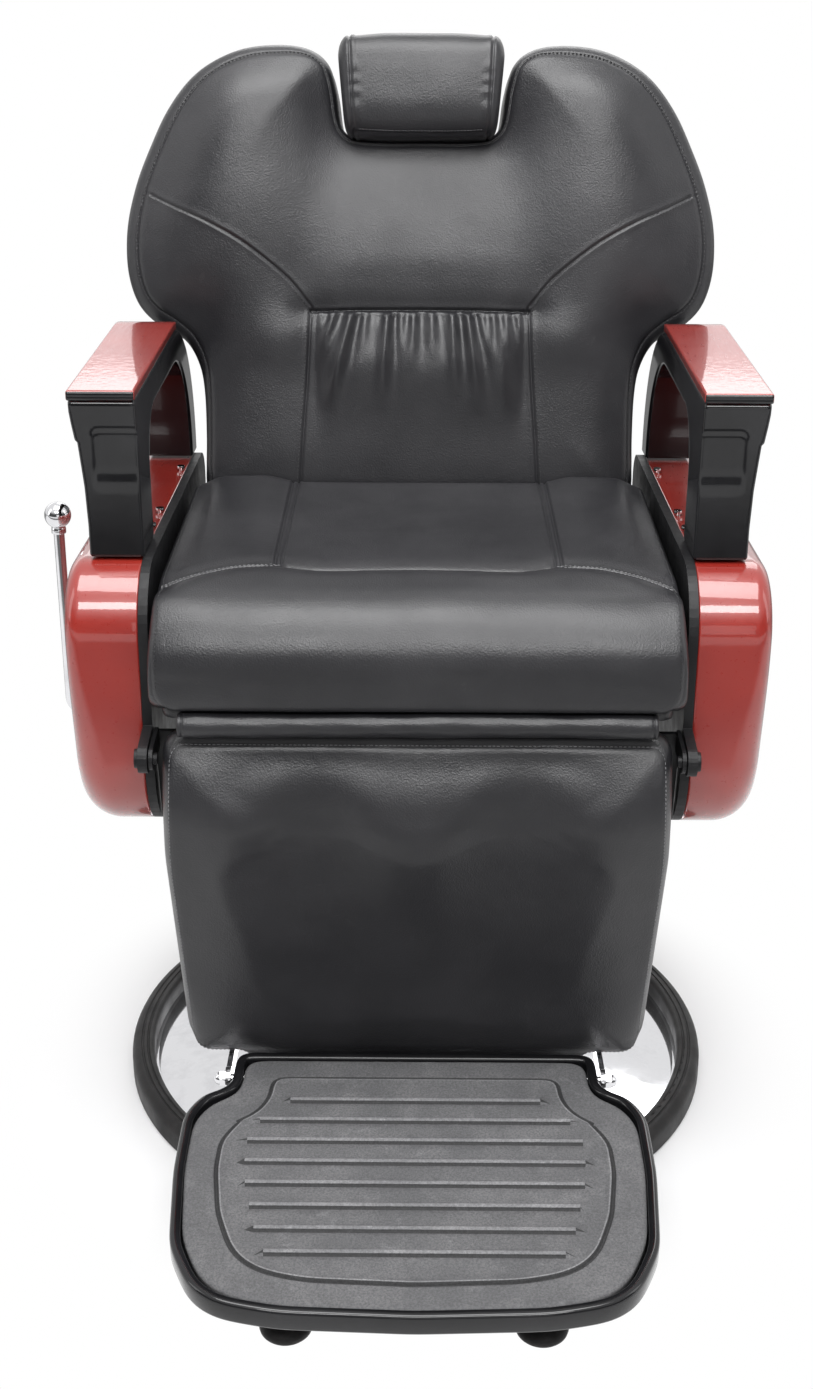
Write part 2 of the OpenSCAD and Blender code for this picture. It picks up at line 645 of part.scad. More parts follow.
// Upper and lower edge of the back over x
function back_top(x) = let (a = abs(x)) a <= notch_in ? notch_z :
  a < notch_hw ? mix(notch_z, back_h - 22, (a - notch_in) / 14) :
  a < 170 ? mix(back_h - 22, back_h, sin(90 * (a - notch_hw) / (170 - notch_hw))) :
  lobe_mid + (back_h - lobe_mid) * pow(max(0, 1 - pow((a - 170) / (back_hw - 170), 2.25)), 0.5);
function back_bottom(x) = let (a = abs(x)) a <= waist_hw ? back_low + 6 * pow(a / waist_hw, 8) :
  a < waist_hw + 16 ? mix(100, lobe_low - 18, (a - waist_hw) / 16) :
  lobe_mid - (lobe_mid - lobe_low + 18) *
    pow(max(0, 1 - pow((a - waist_hw - 16) / (back_hw - waist_hw - 16), 2.4)), 0.42);
back_cols_half = [16, 40, 64, notch_in, notch_hw, 118, 134, 152, 172, 194, 216, 238, waist_hw,
  waist_hw + 2, waist_hw + 16, mix(waist_hw, back_hw, 0.4), mix(waist_hw, back_hw, 0.6),
  mix(waist_hw, back_hw, 0.8), mix(waist_hw, back_hw, 0.93), back_hw - 0.5];
back_cols = concat([for (i = [len(back_cols_half) - 1:-1:0]) -back_cols_half[i]], back_cols_half);
back_rows = [0, 0.02, 0.1, 0.2, 0.3, 0.4, 0.5, 0.6, 0.7, 0.8, 0.9, 0.97, 1];
seam_h = 193;
panel_x = 134;
// Forward crown of the back's front at x, v
function back_crown(x, v, t) = let (a = abs(x), edge = ramp(0, 0.1, t) * ramp(1, 0.9, t))
  edge * ramp(back_hw, back_hw - 46, a) * (8 + 20 * bump(215, 92, a) * ramp(60, 330, v)
    + 10 * bump(96, 90, v) * ramp(190, 110, a) - 9 * bump(seam_h, 16, v) * ramp(165, 120, a)
    - 5 * bump(panel_x, 8, a) * ramp(210, 190, v) - 4 * bump(seam_h + 0.62 * (a - panel_x), 9, v)
    * ramp(120, 140, a)) - 7 * (1 - ramp(0, 0.03, min(t, 1 - t)));
module back_cushion() {
  front = [for (x = back_cols) let (lo = back_bottom(x), hi = back_top(x)) [for (t = back_rows)
    let (v = mix(lo, hi, t), side = ramp(back_hw - 12, back_hw, abs(x)))
    [x, -back_crown(x, v, t) + 6 * side, v]]];
  back = [for (x = back_cols) let (lo = back_bottom(x), hi = back_top(x)) [for (t = back_rows)
    [x, back_t, mix(lo, hi, t)]]];
  loop = edge_loop(front);
  last = len(back_cols) - 1;
  top = len(back_rows) - 1;
  swell = [for (k = loop) let (a = abs(back_cols[k.x])) [k.x == 0 ? 2.5 : k.x == last ? -2.5 : 0, 0,
    k.y == 0 ? (a > waist_hw + 10 ? 2.5 : 1.5) : k.y == top ? (a < notch_in + 1 ? 0.2 : -2.5) : 0]];
  color(leather) on_back() pad(front, back, swell);
}
board_inset = 5;
panel_t2 = 8;
// Outline of the back's board, drawn in from the cushion's edge
module back_outline(inset) {
  n = 12;
  xs = concat([for (i = [0:n]) mix(notch_hw, back_hw - 8, pow(i / n, 0.75))]);
  top = [for (x = xs) [x, back_top(x) - inset]];
  low = [for (i = [n:-1:0]) let (x = mix(waist_hw + 18, back_hw - 8, i / n)) [x, back_bottom(x) + inset]];
  half = concat([[0, notch_z - inset], [notch_in + inset, notch_z - inset], [notch_hw + inset, back_h - 30]],
    [for (p = top) if (p.x > notch_hw + inset) p - [inset * (p.x > back_hw - 30 ? 1 : 0), 0]],
    [for (p = low) p - [p.x > back_hw - 30 ? inset : 0, 0]],
    [[waist_hw - inset, 96], [waist_hw - inset, back_low + inset], [0, back_low + inset]]);
  for (m = [0, 1]) mirror([m, 0]) polygon(half);
}
module back_board() {
  color(wood) on_back() translate([0, back_t + 12.2, 0]) rotate([90, 0, 0]) linear_extrude(12)
    back_outline(board_inset);
}
panel_y = back_t + 12.4;
module back_panel() {
  color(leather) on_back() translate([0, panel_y + panel_t2, 0]) rotate([90, 0, 0])
    linear_extrude(panel_t2) back_outline(board_inset + 3);
}
back_face = panel_y + panel_t2;
arm_x = 228;
arm_t = 6;
// Back pivot in the back's own frame, as [y, z]
pivot_b = turn([back_pivot.x - back_datum.y, back_pivot.y - back_datum.z], back_lean);
module back_arm(side) {
  hub = 22;
  pin = turn(crank, back_lean);
  color(steel) on_back() mirror([side < 0 ? 1 : 0, 0, 0]) {
    difference() {
      union() {
        side_plate(arm_x, arm_x + arm_t) difference() {
          union() {
            translate(pivot_b) circle(hub);
            bar(pivot_b, [back_face + 16, -34], 14);
            bar(pivot_b, pivot_b + pin, 12);
            translate([back_face, -34]) square([30, 190]);
          }
          translate([back_face - 60, back_low + board_inset]) square([60, 200]);
        }
        translate([arm_x - 22, back_face, -26]) cube([24, 4, 178]);
      }
      rod_x(pivot_b, tube_r + 0.02, arm_x - 1, arm_x + arm_t + 1);
    }
    rod_x(pivot_b + pin, link_pin_r, arm_x + 1, link_in + link_t + 1.5);
    rod_x(pivot_b + pin, link_pin_r + 3, link_in + link_t + 0.4, link_in + link_t + 1.6);
  }
}
tube_r = 14;
module torque_tube() {
  pin = turn(lock_pin - back_pivot, back_lean);
  color(steel) on_back() {
    difference() {
      union() {
        rod_x(pivot_b, tube_r, -arm_x - arm_t, arm_x + arm_t);
        for (x = [-lock_x - 14, -lock_x + 8]) side_plate(x, x + 6) bar(pivot_b, pivot_b + pin, 10);
      }
      rod_x(pivot_b, shaft_r + fit, -arm_x - 20, arm_x + 20);
    }
    rod_x(pivot_b + pin, lock_pin_r, -lock_x - 9, -lock_x + 9);
  }
}
module back_shaft() {
  color(chrome) rod_x(back_pivot, shaft_r, -shell_in - 8, shell_in + 8);
}

// ---- headrest ----------------------------------------------------------
post_x = 46;
post_r = 5;
socket_z = [back_h - 215, back_h - 120];
post_y = back_face + 4 + 10;
module headrest_sockets() {
  color(gloss) on_back() {
    difference() {
      union() {
        for (x = [-post_x, post_x]) translate([x, post_y, socket_z[0]])
          cylinder(r = 10, h = socket_z[1] - socket_z[0]);
        for (z = [socket_z[0] + 8, socket_z[1] - 28])
          translate([-post_x - 20, back_face, z]) cube([2 * post_x + 40, 6, 20]);
      }
      for (x = [-post_x, post_x]) translate([x, post_y, socket_z[0] - 1])
        cylinder(r = post_r + fit, h = socket_z[1] - socket_z[0] + 2);
    }
  }
}
pillow_low = notch_z + 5;
slide_z = pillow_low + 48;
module headrest_posts() {
  z0 = socket_z[0] + 2;
  color(chrome) on_back() for (x = [-post_x, post_x]) translate([x, post_y, z0])
    cylinder(r = post_r, h = slide_z - z0);
}
// Middle of the pillow and its flat rear face, ahead of the bracket
pillow_y = 8;
pillow_flat = pillow_t * 0.48;
module headrest_bracket() {
  y0 = pillow_y + pillow_flat + 0.3;
  color(steel) on_back() {
    translate([-post_x - 12, y0, slide_z]) cube([2 * post_x + 24, post_y + 12 - y0, 5]);
    translate([-pillow_hw + 24, y0, pillow_low + 22]) cube([2 * pillow_hw - 48, 6, pillow_h - 44]);
  }
}
module headrest_cushion() {
  sides = 28;
  rings = [for (t = [-1, -0.975, -0.93, -0.885, -0.87, -0.855, -0.7, -0.4, 0, 0.4, 0.7, 0.855, 0.87, 0.885,
    0.93, 0.975, 1])
    let (a = abs(t), seam = 1.8 * bump(0.87, 0.02, a))
    let (k = a < 0.87 ? 1 : 0.72 + 0.28 * sqrt(max(0, 1 - pow((a - 0.87) / 0.131, 2))), taper = 0.07)
    [for (i = [0:sides - 1]) let (ang = i * 360 / sides, c = cos(ang), s = sin(ang))
      let (p = 3, r = 1 / pow(pow(abs(c), p) + pow(abs(s), p), 1 / p))
      let (y = (pillow_t / 2 - seam) * k * r * c, z = (pillow_h / 2 - seam) * k * r * s)
      [t * pillow_hw * (1 + taper * (s * r - 1) / 2), pillow_y + min(y, pillow_flat), z]]];
  color(leather) on_back() translate([0, 0, pillow_low + pillow_h / 2]) loft(rings);
}

// ---- leg rest ----------------------------------------------------------
// Drawn upright in its own frame: the origin is the leg pivot, y = 0 is its plane
module on_leg() {
  translate([0, leg_pivot.x, leg_pivot.y]) rotate([leg_lean, 0, 0]) children();
}
leg_head = 21;
leg_front = 24;
leg_back = leg_t - leg_front;
ear_in = panel_in - 6;
leg_cols = [-1, -0.975, -0.93, -0.86, -0.75, -0.63, -0.52, -0.4, -0.28, -0.14, 0,
  0.14, 0.28, 0.4, 0.52, 0.63, 0.75, 0.86, 0.93, 0.975, 1];
leg_rows = [0, 0.02, 0.07, 0.14, 0.22, 0.3, 0.4, 0.5, 0.6, 0.7, 0.8, 0.88, 0.94, 0.98, 1];
calf_x = 0.4;
// Half width of the leg rest at row s, from its lower edge to its head
function leg_half(s) = leg_hw - 6 * (1 - ramp(0, 0.9, s)) - 22 * pow(max(0, 1 - s / 0.09), 2);
function leg_swell(t, s) = let (edge = ramp(1, 0.8, abs(t)) * ramp(0, 0.1, s) * ramp(1, 0.8, s))
  edge * (14 + 8 * bump(0.75, 0.3, s) - 15 * bump(calf_x, 0.17, abs(t)) * ramp(0.98, 0.8, s)
    * ramp(0, 0.35, s));
module leg_cushion() {
  front = [for (t = leg_cols) [for (s = leg_rows)
    let (z = mix(-leg_l, leg_head, s), head = max(0, z + 6) / (leg_head + 6))
    let (y = -leg_front - leg_swell(t, s) + leg_front * (1 - sqrt(max(0, 1 - head * head)))
      + 7 * pow(max(0, 1 - s / 0.06), 2))
    [t * leg_half(s), y, z]]];
  back = [for (t = leg_cols) [for (s = leg_rows)
    [t * (leg_half(s) - 2), leg_back, mix(-leg_l + 3, leg_head - 6, s)]]];
  loop = edge_loop(front);
  last = len(leg_cols) - 1;
  swell = [for (k = loop) [k.x == 0 ? -2 : k.x == last ? 2 : 0, 0, 0]];
  color(leather) on_leg() pad(front, back, swell);
}
leg_board_t = 12;
module leg_board() {
  hw = leg_hw - 12;
  color(wood) on_leg() translate([0, leg_back + leg_board_t + 0.3, 0]) rotate([90, 0, 0])
    linear_extrude(leg_board_t) polygon(round_poly([[-hw, leg_head - 10], [hw, leg_head - 10],
      [hw - 6, -leg_l + 8], [-hw + 6, -leg_l + 8]], [14, 14, 26, 26], 5));
}
leg_rear = leg_back + leg_board_t + 0.3;
// Crank of the leg rest in its own frame: the same length and direction as the back's
leg_pin = turn(crank, -leg_lean);
module leg_bracket(side) {
  ear_t = 4;
  lug_x = link_in + link_t + 2;
  color(steel) on_leg() mirror([side < 0 ? 1 : 0, 0, 0]) {
    difference() {
      union() {
        side_plate(ear_in + 1, ear_in + 1 + ear_t) union() {
          bar([0, 0], [leg_rear - 2, -6], 12);
          translate([leg_rear, -64]) square([6, 66]);
        }
        translate([link_in - 8, leg_rear, -110]) cube([ear_in + ear_t + 1 - link_in + 8, 5, 112]);
        side_plate(lug_x, lug_x + 5) polygon(concat([[leg_rear, leg_pin.y + 11],
          [leg_rear, leg_pin.y - 11]], arc_points(leg_pin, 11, -90, 90)));
      }
      rod_x([0, 0], 6 + fit, ear_in, ear_in + ear_t + 3);
      translate([ear_in - 12, leg_back - leg_hw, -leg_hw]) cube([13, leg_hw, 2 * leg_hw]);
    }
    rod_x(leg_pin, link_pin_r, link_in - 2, lug_x + 2);
    rod_x(leg_pin, link_pin_r + 3, link_in - 3.2, link_in - 1);
  }
}

// ---- links -------------------------------------------------------------
open_fit = 0.4;
link_r = 8.5;
module link(side) {
  a = back_pivot + crank;
  b = leg_pivot + crank;
  color(chrome) mirror([side < 0 ? 1 : 0, 0, 0]) side_plate(link_in, link_in + link_t) difference() {
    bar(a, b, link_r);
    translate(a) circle(link_pin_r + fit);
    translate(b) circle(link_pin_r + open_fit);
  }
}

// ---- footrest ----------------------------------------------------------
foot_arm_in = neck_hw + 3;
foot_arm_t = 6;
foot_pin_r = 5;
module footrest_arm(side) {
  // Along the board's rear face to its lower end, then forward under the pad, as [y, z]
  r = 10;
  low = turn([leg_rear + r + 0.2, -leg_l + 8], leg_lean) + leg_pivot;
  high = turn([leg_rear + r + 0.2, -leg_l + 150], leg_lean) + leg_pivot;
  heel_drop = 8;
  heel = [low.x + 6, foot_pivot.y - heel_drop];
  color(chrome) mirror([side < 0 ? 1 : 0, 0, 0]) {
    side_plate(foot_arm_in, foot_arm_in + foot_arm_t) difference() {
      union() {
        polygon(strap([high, low, heel, foot_pivot], r));
        translate(foot_pivot) circle(13);
      }
      translate(foot_pivot) circle(foot_pin_r + 0.3);
    }
  }
}
module on_foot() {
  translate([0, foot_pivot.x, foot_pivot.y]) rotate([foot_slope, 0, 0]) children();
}
neck_back = 34;
function foot_outline(d) = let (n = neck_hw - d, w = foot_hw - d, f = -foot_l + d)
  let (b = neck_back - d) let (half = [[0, f], [w * 0.52, f + 5], [w * 0.84, f + 22], [w - 8, f + 96],
    [w, -158], [w - 1, -70 - d], [n + 30, -38 - d], [n, -26 - d], [n, b], [0, b]])
  round_poly(concat([for (i = [0:len(half) - 2]) half[i]],
    [for (i = [len(half) - 2:-1:1]) [-half[i].x, half[i].y]]),
    [0, 160, 70, 60, 60, 34, 12, 16 + d, 8, 8, 16 + d, 12, 34, 60, 60, 70, 160], 6);
rim = 11;
floor_t = 7;
module footrest_plate() {
  color(gloss) on_foot() difference() {
    translate([0, 0, -plate_t / 2]) linear_extrude(plate_t) polygon(foot_outline(0));
    translate([0, 0, -plate_t / 2 + floor_t]) linear_extrude(plate_t) polygon(foot_outline(rim));
    translate([0, 0, -plate_t / 2 - 1]) linear_extrude(1) polygon(foot_outline(rim));
    for (sx = [-1, 1]) {
      rod_x([0, 0], foot_pin_r + fit, sx > 0 ? neck_hw - rim - 2 : -neck_hw - 2,
        sx > 0 ? neck_hw + 2 : -neck_hw + rim + 2);
      translate([sx * foot_seat.x, foot_seat.y, -plate_t]) cylinder(r = 5, h = plate_t);
    }
  }
}
foot_seat = [123, -foot_l + 46];
mat_z = -plate_t / 2 + floor_t;
groove_w = 5;
module footrest_mat() {
  top = mat_z + plate_t - floor_t - 1.5;
  ribs = 8;
  color([0.40, 0.40, 0.41]) on_foot() difference() {
    translate([0, 0, mat_z]) linear_extrude(top - mat_z) polygon(foot_outline(rim + 0.3));
    translate([0, 0, top - 1.5]) linear_extrude(2) difference() {
      polygon(foot_outline(rim + 30));
      polygon(foot_outline(rim + 30 + groove_w));
    }
    for (i = [0:ribs - 1]) let (w = 138 + 46 * sin(180 * (i + 0.6) / ribs), y = -52 - i * 32)
      translate([-w, y, top - 1.2]) cube([2 * w, 3, 2]);
  }
}
stem_l = 16;
stem_top = -plate_t / 2 + floor_t;
module at_feet() {
  for (sx = [-1, 1]) on_foot() translate([sx * foot_seat.x, foot_seat.y, -plate_t / 2]) children();
}
module foot_stems() {
  color(chrome) at_feet() {
    translate([0, 0, -stem_l - 6]) cylinder(r = 5, h = stem_l + 6 + floor_t);
    translate([0, 0, -7]) cylinder(r = 10, h = 7, $fn = 6);
  }
}
module footrest_feet() {
  color(rubber) at_feet() translate([0, 0, -stem_l - 22]) difference() {
    rotate_extrude() polygon(round_poly([[0, 0], [foot_r - 2, 0], [foot_r, 8], [foot_r * 0.75, 16],
      [12, 22], [0, 22]], [0, 2, 4, 8, 5, 0], 5));
    translate([0, 0, 16]) cylinder(r = 5, h = 10);
  }
}
module footrest_nuts() {
  outer = foot_arm_in + foot_arm_t;
  color(chrome) for (side = [0, 1]) mirror([side, 0, 0]) {
    rod_x(foot_pivot, foot_pin_r, neck_hw - rim, outer + 6);
    translate([outer + 0.4, foot_pivot.x, foot_pivot.y]) rotate([0, 90, 0]) cylinder(r = 9, h = 6, $fn = 6);
    translate([outer + 6.4, foot_pivot.x, foot_pivot.y]) difference() {
      sphere(7);
      translate([-10, -10, -10]) cube([10, 20, 20]);
    }
  }
}

base_ring();
base_dish();
pump_cylinder();
pump_bolts();
column_cover();
cover_collar();
pedal_arm();
pedal_pad();
lift_piston();
lift_sleeve();
swivel_washer();
swivel_plate();
frame_rail(-1);  // frame_rail_left
frame_rail(1);  // frame_rail_right
crossbar(front_bar);  // front_crossbar
crossbar(rear_bar);  // rear_crossbar
seat_board();
seat_cushion();
front_roll();
side_panel(-1);  // side_panel_left
side_panel(1);  // side_panel_right
side_shell(-1);  // side_shell_left
side_shell(1);  // side_shell_right
arm(-1);  // arm_left
arm(1);  // arm_right
arm_cap(-1);  // arm_cap_left
arm_cap(1);  // arm_cap_right
shell_screws();
back_shaft();
lock_cylinder();
leg_pivot_pins();
back_arm(-1);  // back_arm_left
back_arm(1);  // back_arm_right
torque_tube();
back_board();
back_panel();
back_cushion();
headrest_sockets();
headrest_posts();
headrest_bracket();
headrest_cushion();
leg_board();
leg_cushion();
leg_bracket(-1);  // leg_bracket_left
leg_bracket(1);  // leg_bracket_right
footrest_arm(-1);  // footrest_arm_left
footrest_arm(1);  // footrest_arm_right
link(-1);  // link_left
link(1);  // link_right
lock_rod();
recline_lever();
lever_knob();
footrest_plate();
footrest_mat();
footrest_feet();
foot_stems();
footrest_nuts();
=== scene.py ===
import json
import math

import bpy
import numpy as np
from mathutils import Matrix, Vector
from mathutils.bvhtree import BVHTree
from mathutils.geometry import delaunay_2d_cdt

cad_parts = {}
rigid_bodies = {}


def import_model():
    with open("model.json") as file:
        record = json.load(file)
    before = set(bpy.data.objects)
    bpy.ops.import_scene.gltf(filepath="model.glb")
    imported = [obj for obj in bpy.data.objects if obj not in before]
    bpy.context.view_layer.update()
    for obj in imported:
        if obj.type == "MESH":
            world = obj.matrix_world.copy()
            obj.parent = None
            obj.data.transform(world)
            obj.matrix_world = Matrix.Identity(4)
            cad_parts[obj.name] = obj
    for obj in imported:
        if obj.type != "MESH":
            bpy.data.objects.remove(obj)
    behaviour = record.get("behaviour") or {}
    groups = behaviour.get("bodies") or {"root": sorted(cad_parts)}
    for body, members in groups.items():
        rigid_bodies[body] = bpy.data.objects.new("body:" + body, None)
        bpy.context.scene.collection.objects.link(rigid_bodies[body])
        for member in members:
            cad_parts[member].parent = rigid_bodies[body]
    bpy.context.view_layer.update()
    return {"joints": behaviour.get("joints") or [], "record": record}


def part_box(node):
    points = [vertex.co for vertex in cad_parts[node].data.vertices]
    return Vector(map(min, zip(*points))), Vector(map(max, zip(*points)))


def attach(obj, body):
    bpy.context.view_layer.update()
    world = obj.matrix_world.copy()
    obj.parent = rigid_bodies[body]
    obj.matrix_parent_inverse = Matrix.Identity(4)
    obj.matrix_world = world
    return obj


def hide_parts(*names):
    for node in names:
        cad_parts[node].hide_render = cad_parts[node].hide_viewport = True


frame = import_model()

# Shapes are worked out in millimetres, like the frame's source, and turned to metres in new_mesh.
# The sitter faces -y, +x is on the right in the picture, and z is the height over the floor.
MM = 0.001


def mm_box(node):
    """Lowest and highest corner of a CAD node, in millimetres."""
    low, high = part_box(node)
    return np.array(low) / MM, np.array(high) / MM


def pivot(joint):
    """Where a joint's axis crosses the middle plane, as (y, z) in millimetres."""
    for row in frame["joints"]:
        if row["name"] == joint:
            return row["pos_m"][1] / MM, row["pos_m"][2] / MM


def settle(piece, body, slot, *nodes):
    """The piece rides this body and stands in for these CAD nodes, if any; slot is not used."""
    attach(piece, body)
    if nodes:
        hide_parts(*nodes)


# ---- shader nodes -----------------------------------------------------------
class Nodes:
    """Short calls for the nodes of one shader tree."""

    def __init__(self, owner):
        owner.use_nodes = True
        self.tree = owner.node_tree

    def node(self, kind, **settings):
        made = self.tree.nodes.new("ShaderNode" + kind)
        for key, value in settings.items():
            setattr(made, key, value)
        return made

    def link(self, source, target):
        self.tree.links.new(source, target)

    def math(self, operation, a, b):
        """One value from two; each is a number or a socket."""
        made = self.node("Math", operation=operation)
        for socket, value in zip(made.inputs, (a, b)):
            if isinstance(value, (int, float)):
                socket.default_value = value
            else:
                self.link(value, socket)
        return made.outputs[0]

    def range(self, value, low, high, start=0, end=1, steps="LINEAR"):
        """From start where the value is low to end where it is high, and level past both."""
        made = self.node("MapRange", interpolation_type=steps)
        for socket, number in zip(("From Min", "From Max", "To Min", "To Max"), (low, high, start, end)):
            made.inputs[socket].default_value = number
        self.link(value, made.inputs["Value"])
        return made.outputs[0]

    def eased(self, value, low, high, start=0, end=1):
        """Like range, with soft ends."""
        return self.range(value, low, high, start, end, "SMOOTHSTEP")

    def ray(self, kind):
        """1 on rays of this kind, such as Is Camera Ray, and 0 on others."""
        return self.node("LightPath").outputs[kind]

    def split(self, vector):
        """A vector's x, y and z sockets, by name."""
        made = self.node("SeparateXYZ")
        self.link(vector, made.inputs[0])
        return made.outputs


# ---- camera and light -------------------------------------------------------
# The camera as it was fitted to the photo: the picture's size and its focal length in pixels, the camera's
# place in metres, and its turns
PICTURE = (813, 1389)
FOCAL_PX = 1872
CAMERA_AT = (0, -1.960, 1.302)
CAMERA_DOWN = math.radians(22.93)
CAMERA_LEFT = math.radians(0.37)
CAMERA_ROLL = math.radians(0.19)

# Each softbox: its name, place, width with height, and watts
LIGHTS_AIM = (0, 0, 0.6)
SOFTBOXES = [
    ("top_softbox", (-0.1, -0.45, 3.3), (2.6, 1.5), 84),
    ("front_softbox", (0, -2.25, 2.7), (2.3, 0.62), 52),
    ("left_softbox", (-2.6, -0.5, 1.7), (0.8, 2.0), 9),
    ("right_softbox", (2.7, -0.4, 1.8), (0.8, 2.0), 8),
    ("rear_softbox", (0.4, 2.4, 2.6), (2.4, 1.2), 26),
    ("front_fill", (0.4, -3.6, 1.2), (1.4, 0.9), 4),
]


def make_camera():
    """The photo's own view."""
    data = bpy.data.cameras.new("camera")
    data.sensor_width = 36
    data.lens = data.sensor_width * FOCAL_PX / max(PICTURE)
    camera = bpy.data.objects.new("camera", data)
    turn = Matrix.Rotation(CAMERA_LEFT, 4, "Z") @ Matrix.Rotation(math.pi / 2 - CAMERA_DOWN, 4, "X")
    camera.matrix_world = Matrix.Translation(CAMERA_AT) @ turn @ Matrix.Rotation(CAMERA_ROLL, 4, "Z")
    bpy.context.collection.objects.link(camera)
    bpy.context.scene.camera = camera


def make_softboxes():
    for name, at, size, watts in SOFTBOXES:
        data = bpy.data.lights.new(name, "AREA")
        data.shape = "RECTANGLE"
        data.size, data.size_y = size
        data.energy = watts
        light = bpy.data.objects.new(name, data)
        light.location = at
        light.rotation_euler = (Vector(LIGHTS_AIM) - Vector(at)).to_track_quat("-Z", "Y").to_euler()
        bpy.context.collection.objects.link(light)


def make_studio():
    """White behind the object; mirrored rays meet a studio instead, and diffuse ones a weak, even fill."""
    fill = 0.22
    bpy.context.scene.view_settings.view_transform = "Standard"
    world = bpy.data.worlds.new("studio")
    bpy.context.scene.world = world
    n = Nodes(world)
    n.tree.nodes.clear()
    way = n.split(n.node("TexCoord").outputs["Generated"])
    # The studio is dim in front of the object, and pale above and behind it
    above = n.eased(way["Z"], 0.18, 0.75)
    behind = n.eased(way["Y"], -0.35, 0.3)
    room = n.eased(n.math("MAXIMUM", above, behind), 0, 1, 0.07, 0.85)
    # A lit band low on its rear wall, with a sharp foot, makes the edge across the arms' lacquered tops
    wall = n.math("MULTIPLY", n.eased(way["Y"], 0.6, 0.8), n.eased(way["Z"], 0.02, 0.1))
    foot = n.eased(way["Z"], 0.2232, 0.2256, 0.1, 1.5)
    band = n.math("MULTIPLY", foot, n.eased(way["Z"], 0.27, 0.33, 1, 0))
    room = n.math("ADD", room, n.math("MULTIPLY", wall, band))
    seen = n.math("MAXIMUM", n.ray("Is Camera Ray"), n.math("MULTIPLY", n.ray("Is Glossy Ray"), room))
    sky = n.node("Background")
    sky.inputs["Color"].default_value = (1, 1, 1, 1)
    n.link(n.math("MAXIMUM", seen, n.math("MULTIPLY", n.ray("Is Diffuse Ray"), fill)), sky.inputs["Strength"])
    n.link(sky.outputs[0], n.node("OutputWorld").inputs["Surface"])


def make_floor():
    """A pale floor that keeps the object's shadow and fades to white away from it.

    In mirrored rays it darkens towards the viewer and behind the object, as past a studio's lit floor.
    """
    reach = 14
    pale_grey = (0.90, 0.90, 0.91, 1)
    mesh = bpy.data.meshes.new("floor")
    corners = [(-reach, -reach, 0), (reach, -reach, 0), (reach, reach, 0), (-reach, reach, 0)]
    mesh.from_pydata(corners, [], [(0, 1, 2, 3)])
    floor = bpy.data.objects.new("floor", mesh)
    bpy.context.collection.objects.link(floor)
    material = bpy.data.materials.new("floor")
    n = Nodes(material)
    n.tree.nodes.clear()
    place = n.node("NewGeometry").outputs["Position"]
    away = n.node("VectorMath", operation="LENGTH")
    n.link(place, away.inputs[0])
    y = n.split(place)["Y"]
    fade = n.eased(away.outputs["Value"], 0.27, 0.50)
    near = n.eased(y, -0.95, -1.55, 1, 0.16)
    far = n.eased(y, -2.2, -3.0, 0, 0.8)
    behind = n.eased(y, 0.45, 1.2, 1, 0.3)
    mirrored = n.math("MULTIPLY", n.math("ADD", near, far), behind)
    pale = n.node("BsdfDiffuse")
    pale.inputs["Color"].default_value = pale_grey
    white = n.node("Emission")
    white.inputs["Color"].default_value = (1, 1, 1, 1)
    strength = n.math("MAXIMUM", n.ray("Is Camera Ray"), n.math("MULTIPLY", n.ray("Is Glossy Ray"), mirrored))
    n.link(strength, white.inputs["Strength"])
    mix = n.node("MixShader")
    seen = n.math("MAXIMUM", n.ray("Is Camera Ray"), n.ray("Is Glossy Ray"))
    n.link(n.math("MULTIPLY", fade, seen), mix.inputs[0])
    n.link(pale.outputs[0], mix.inputs[1])
    n.link(white.outputs[0], mix.inputs[2])
    n.link(mix.outputs[0], n.node("OutputMaterial").inputs["Surface"])
    mesh.materials.append(material)


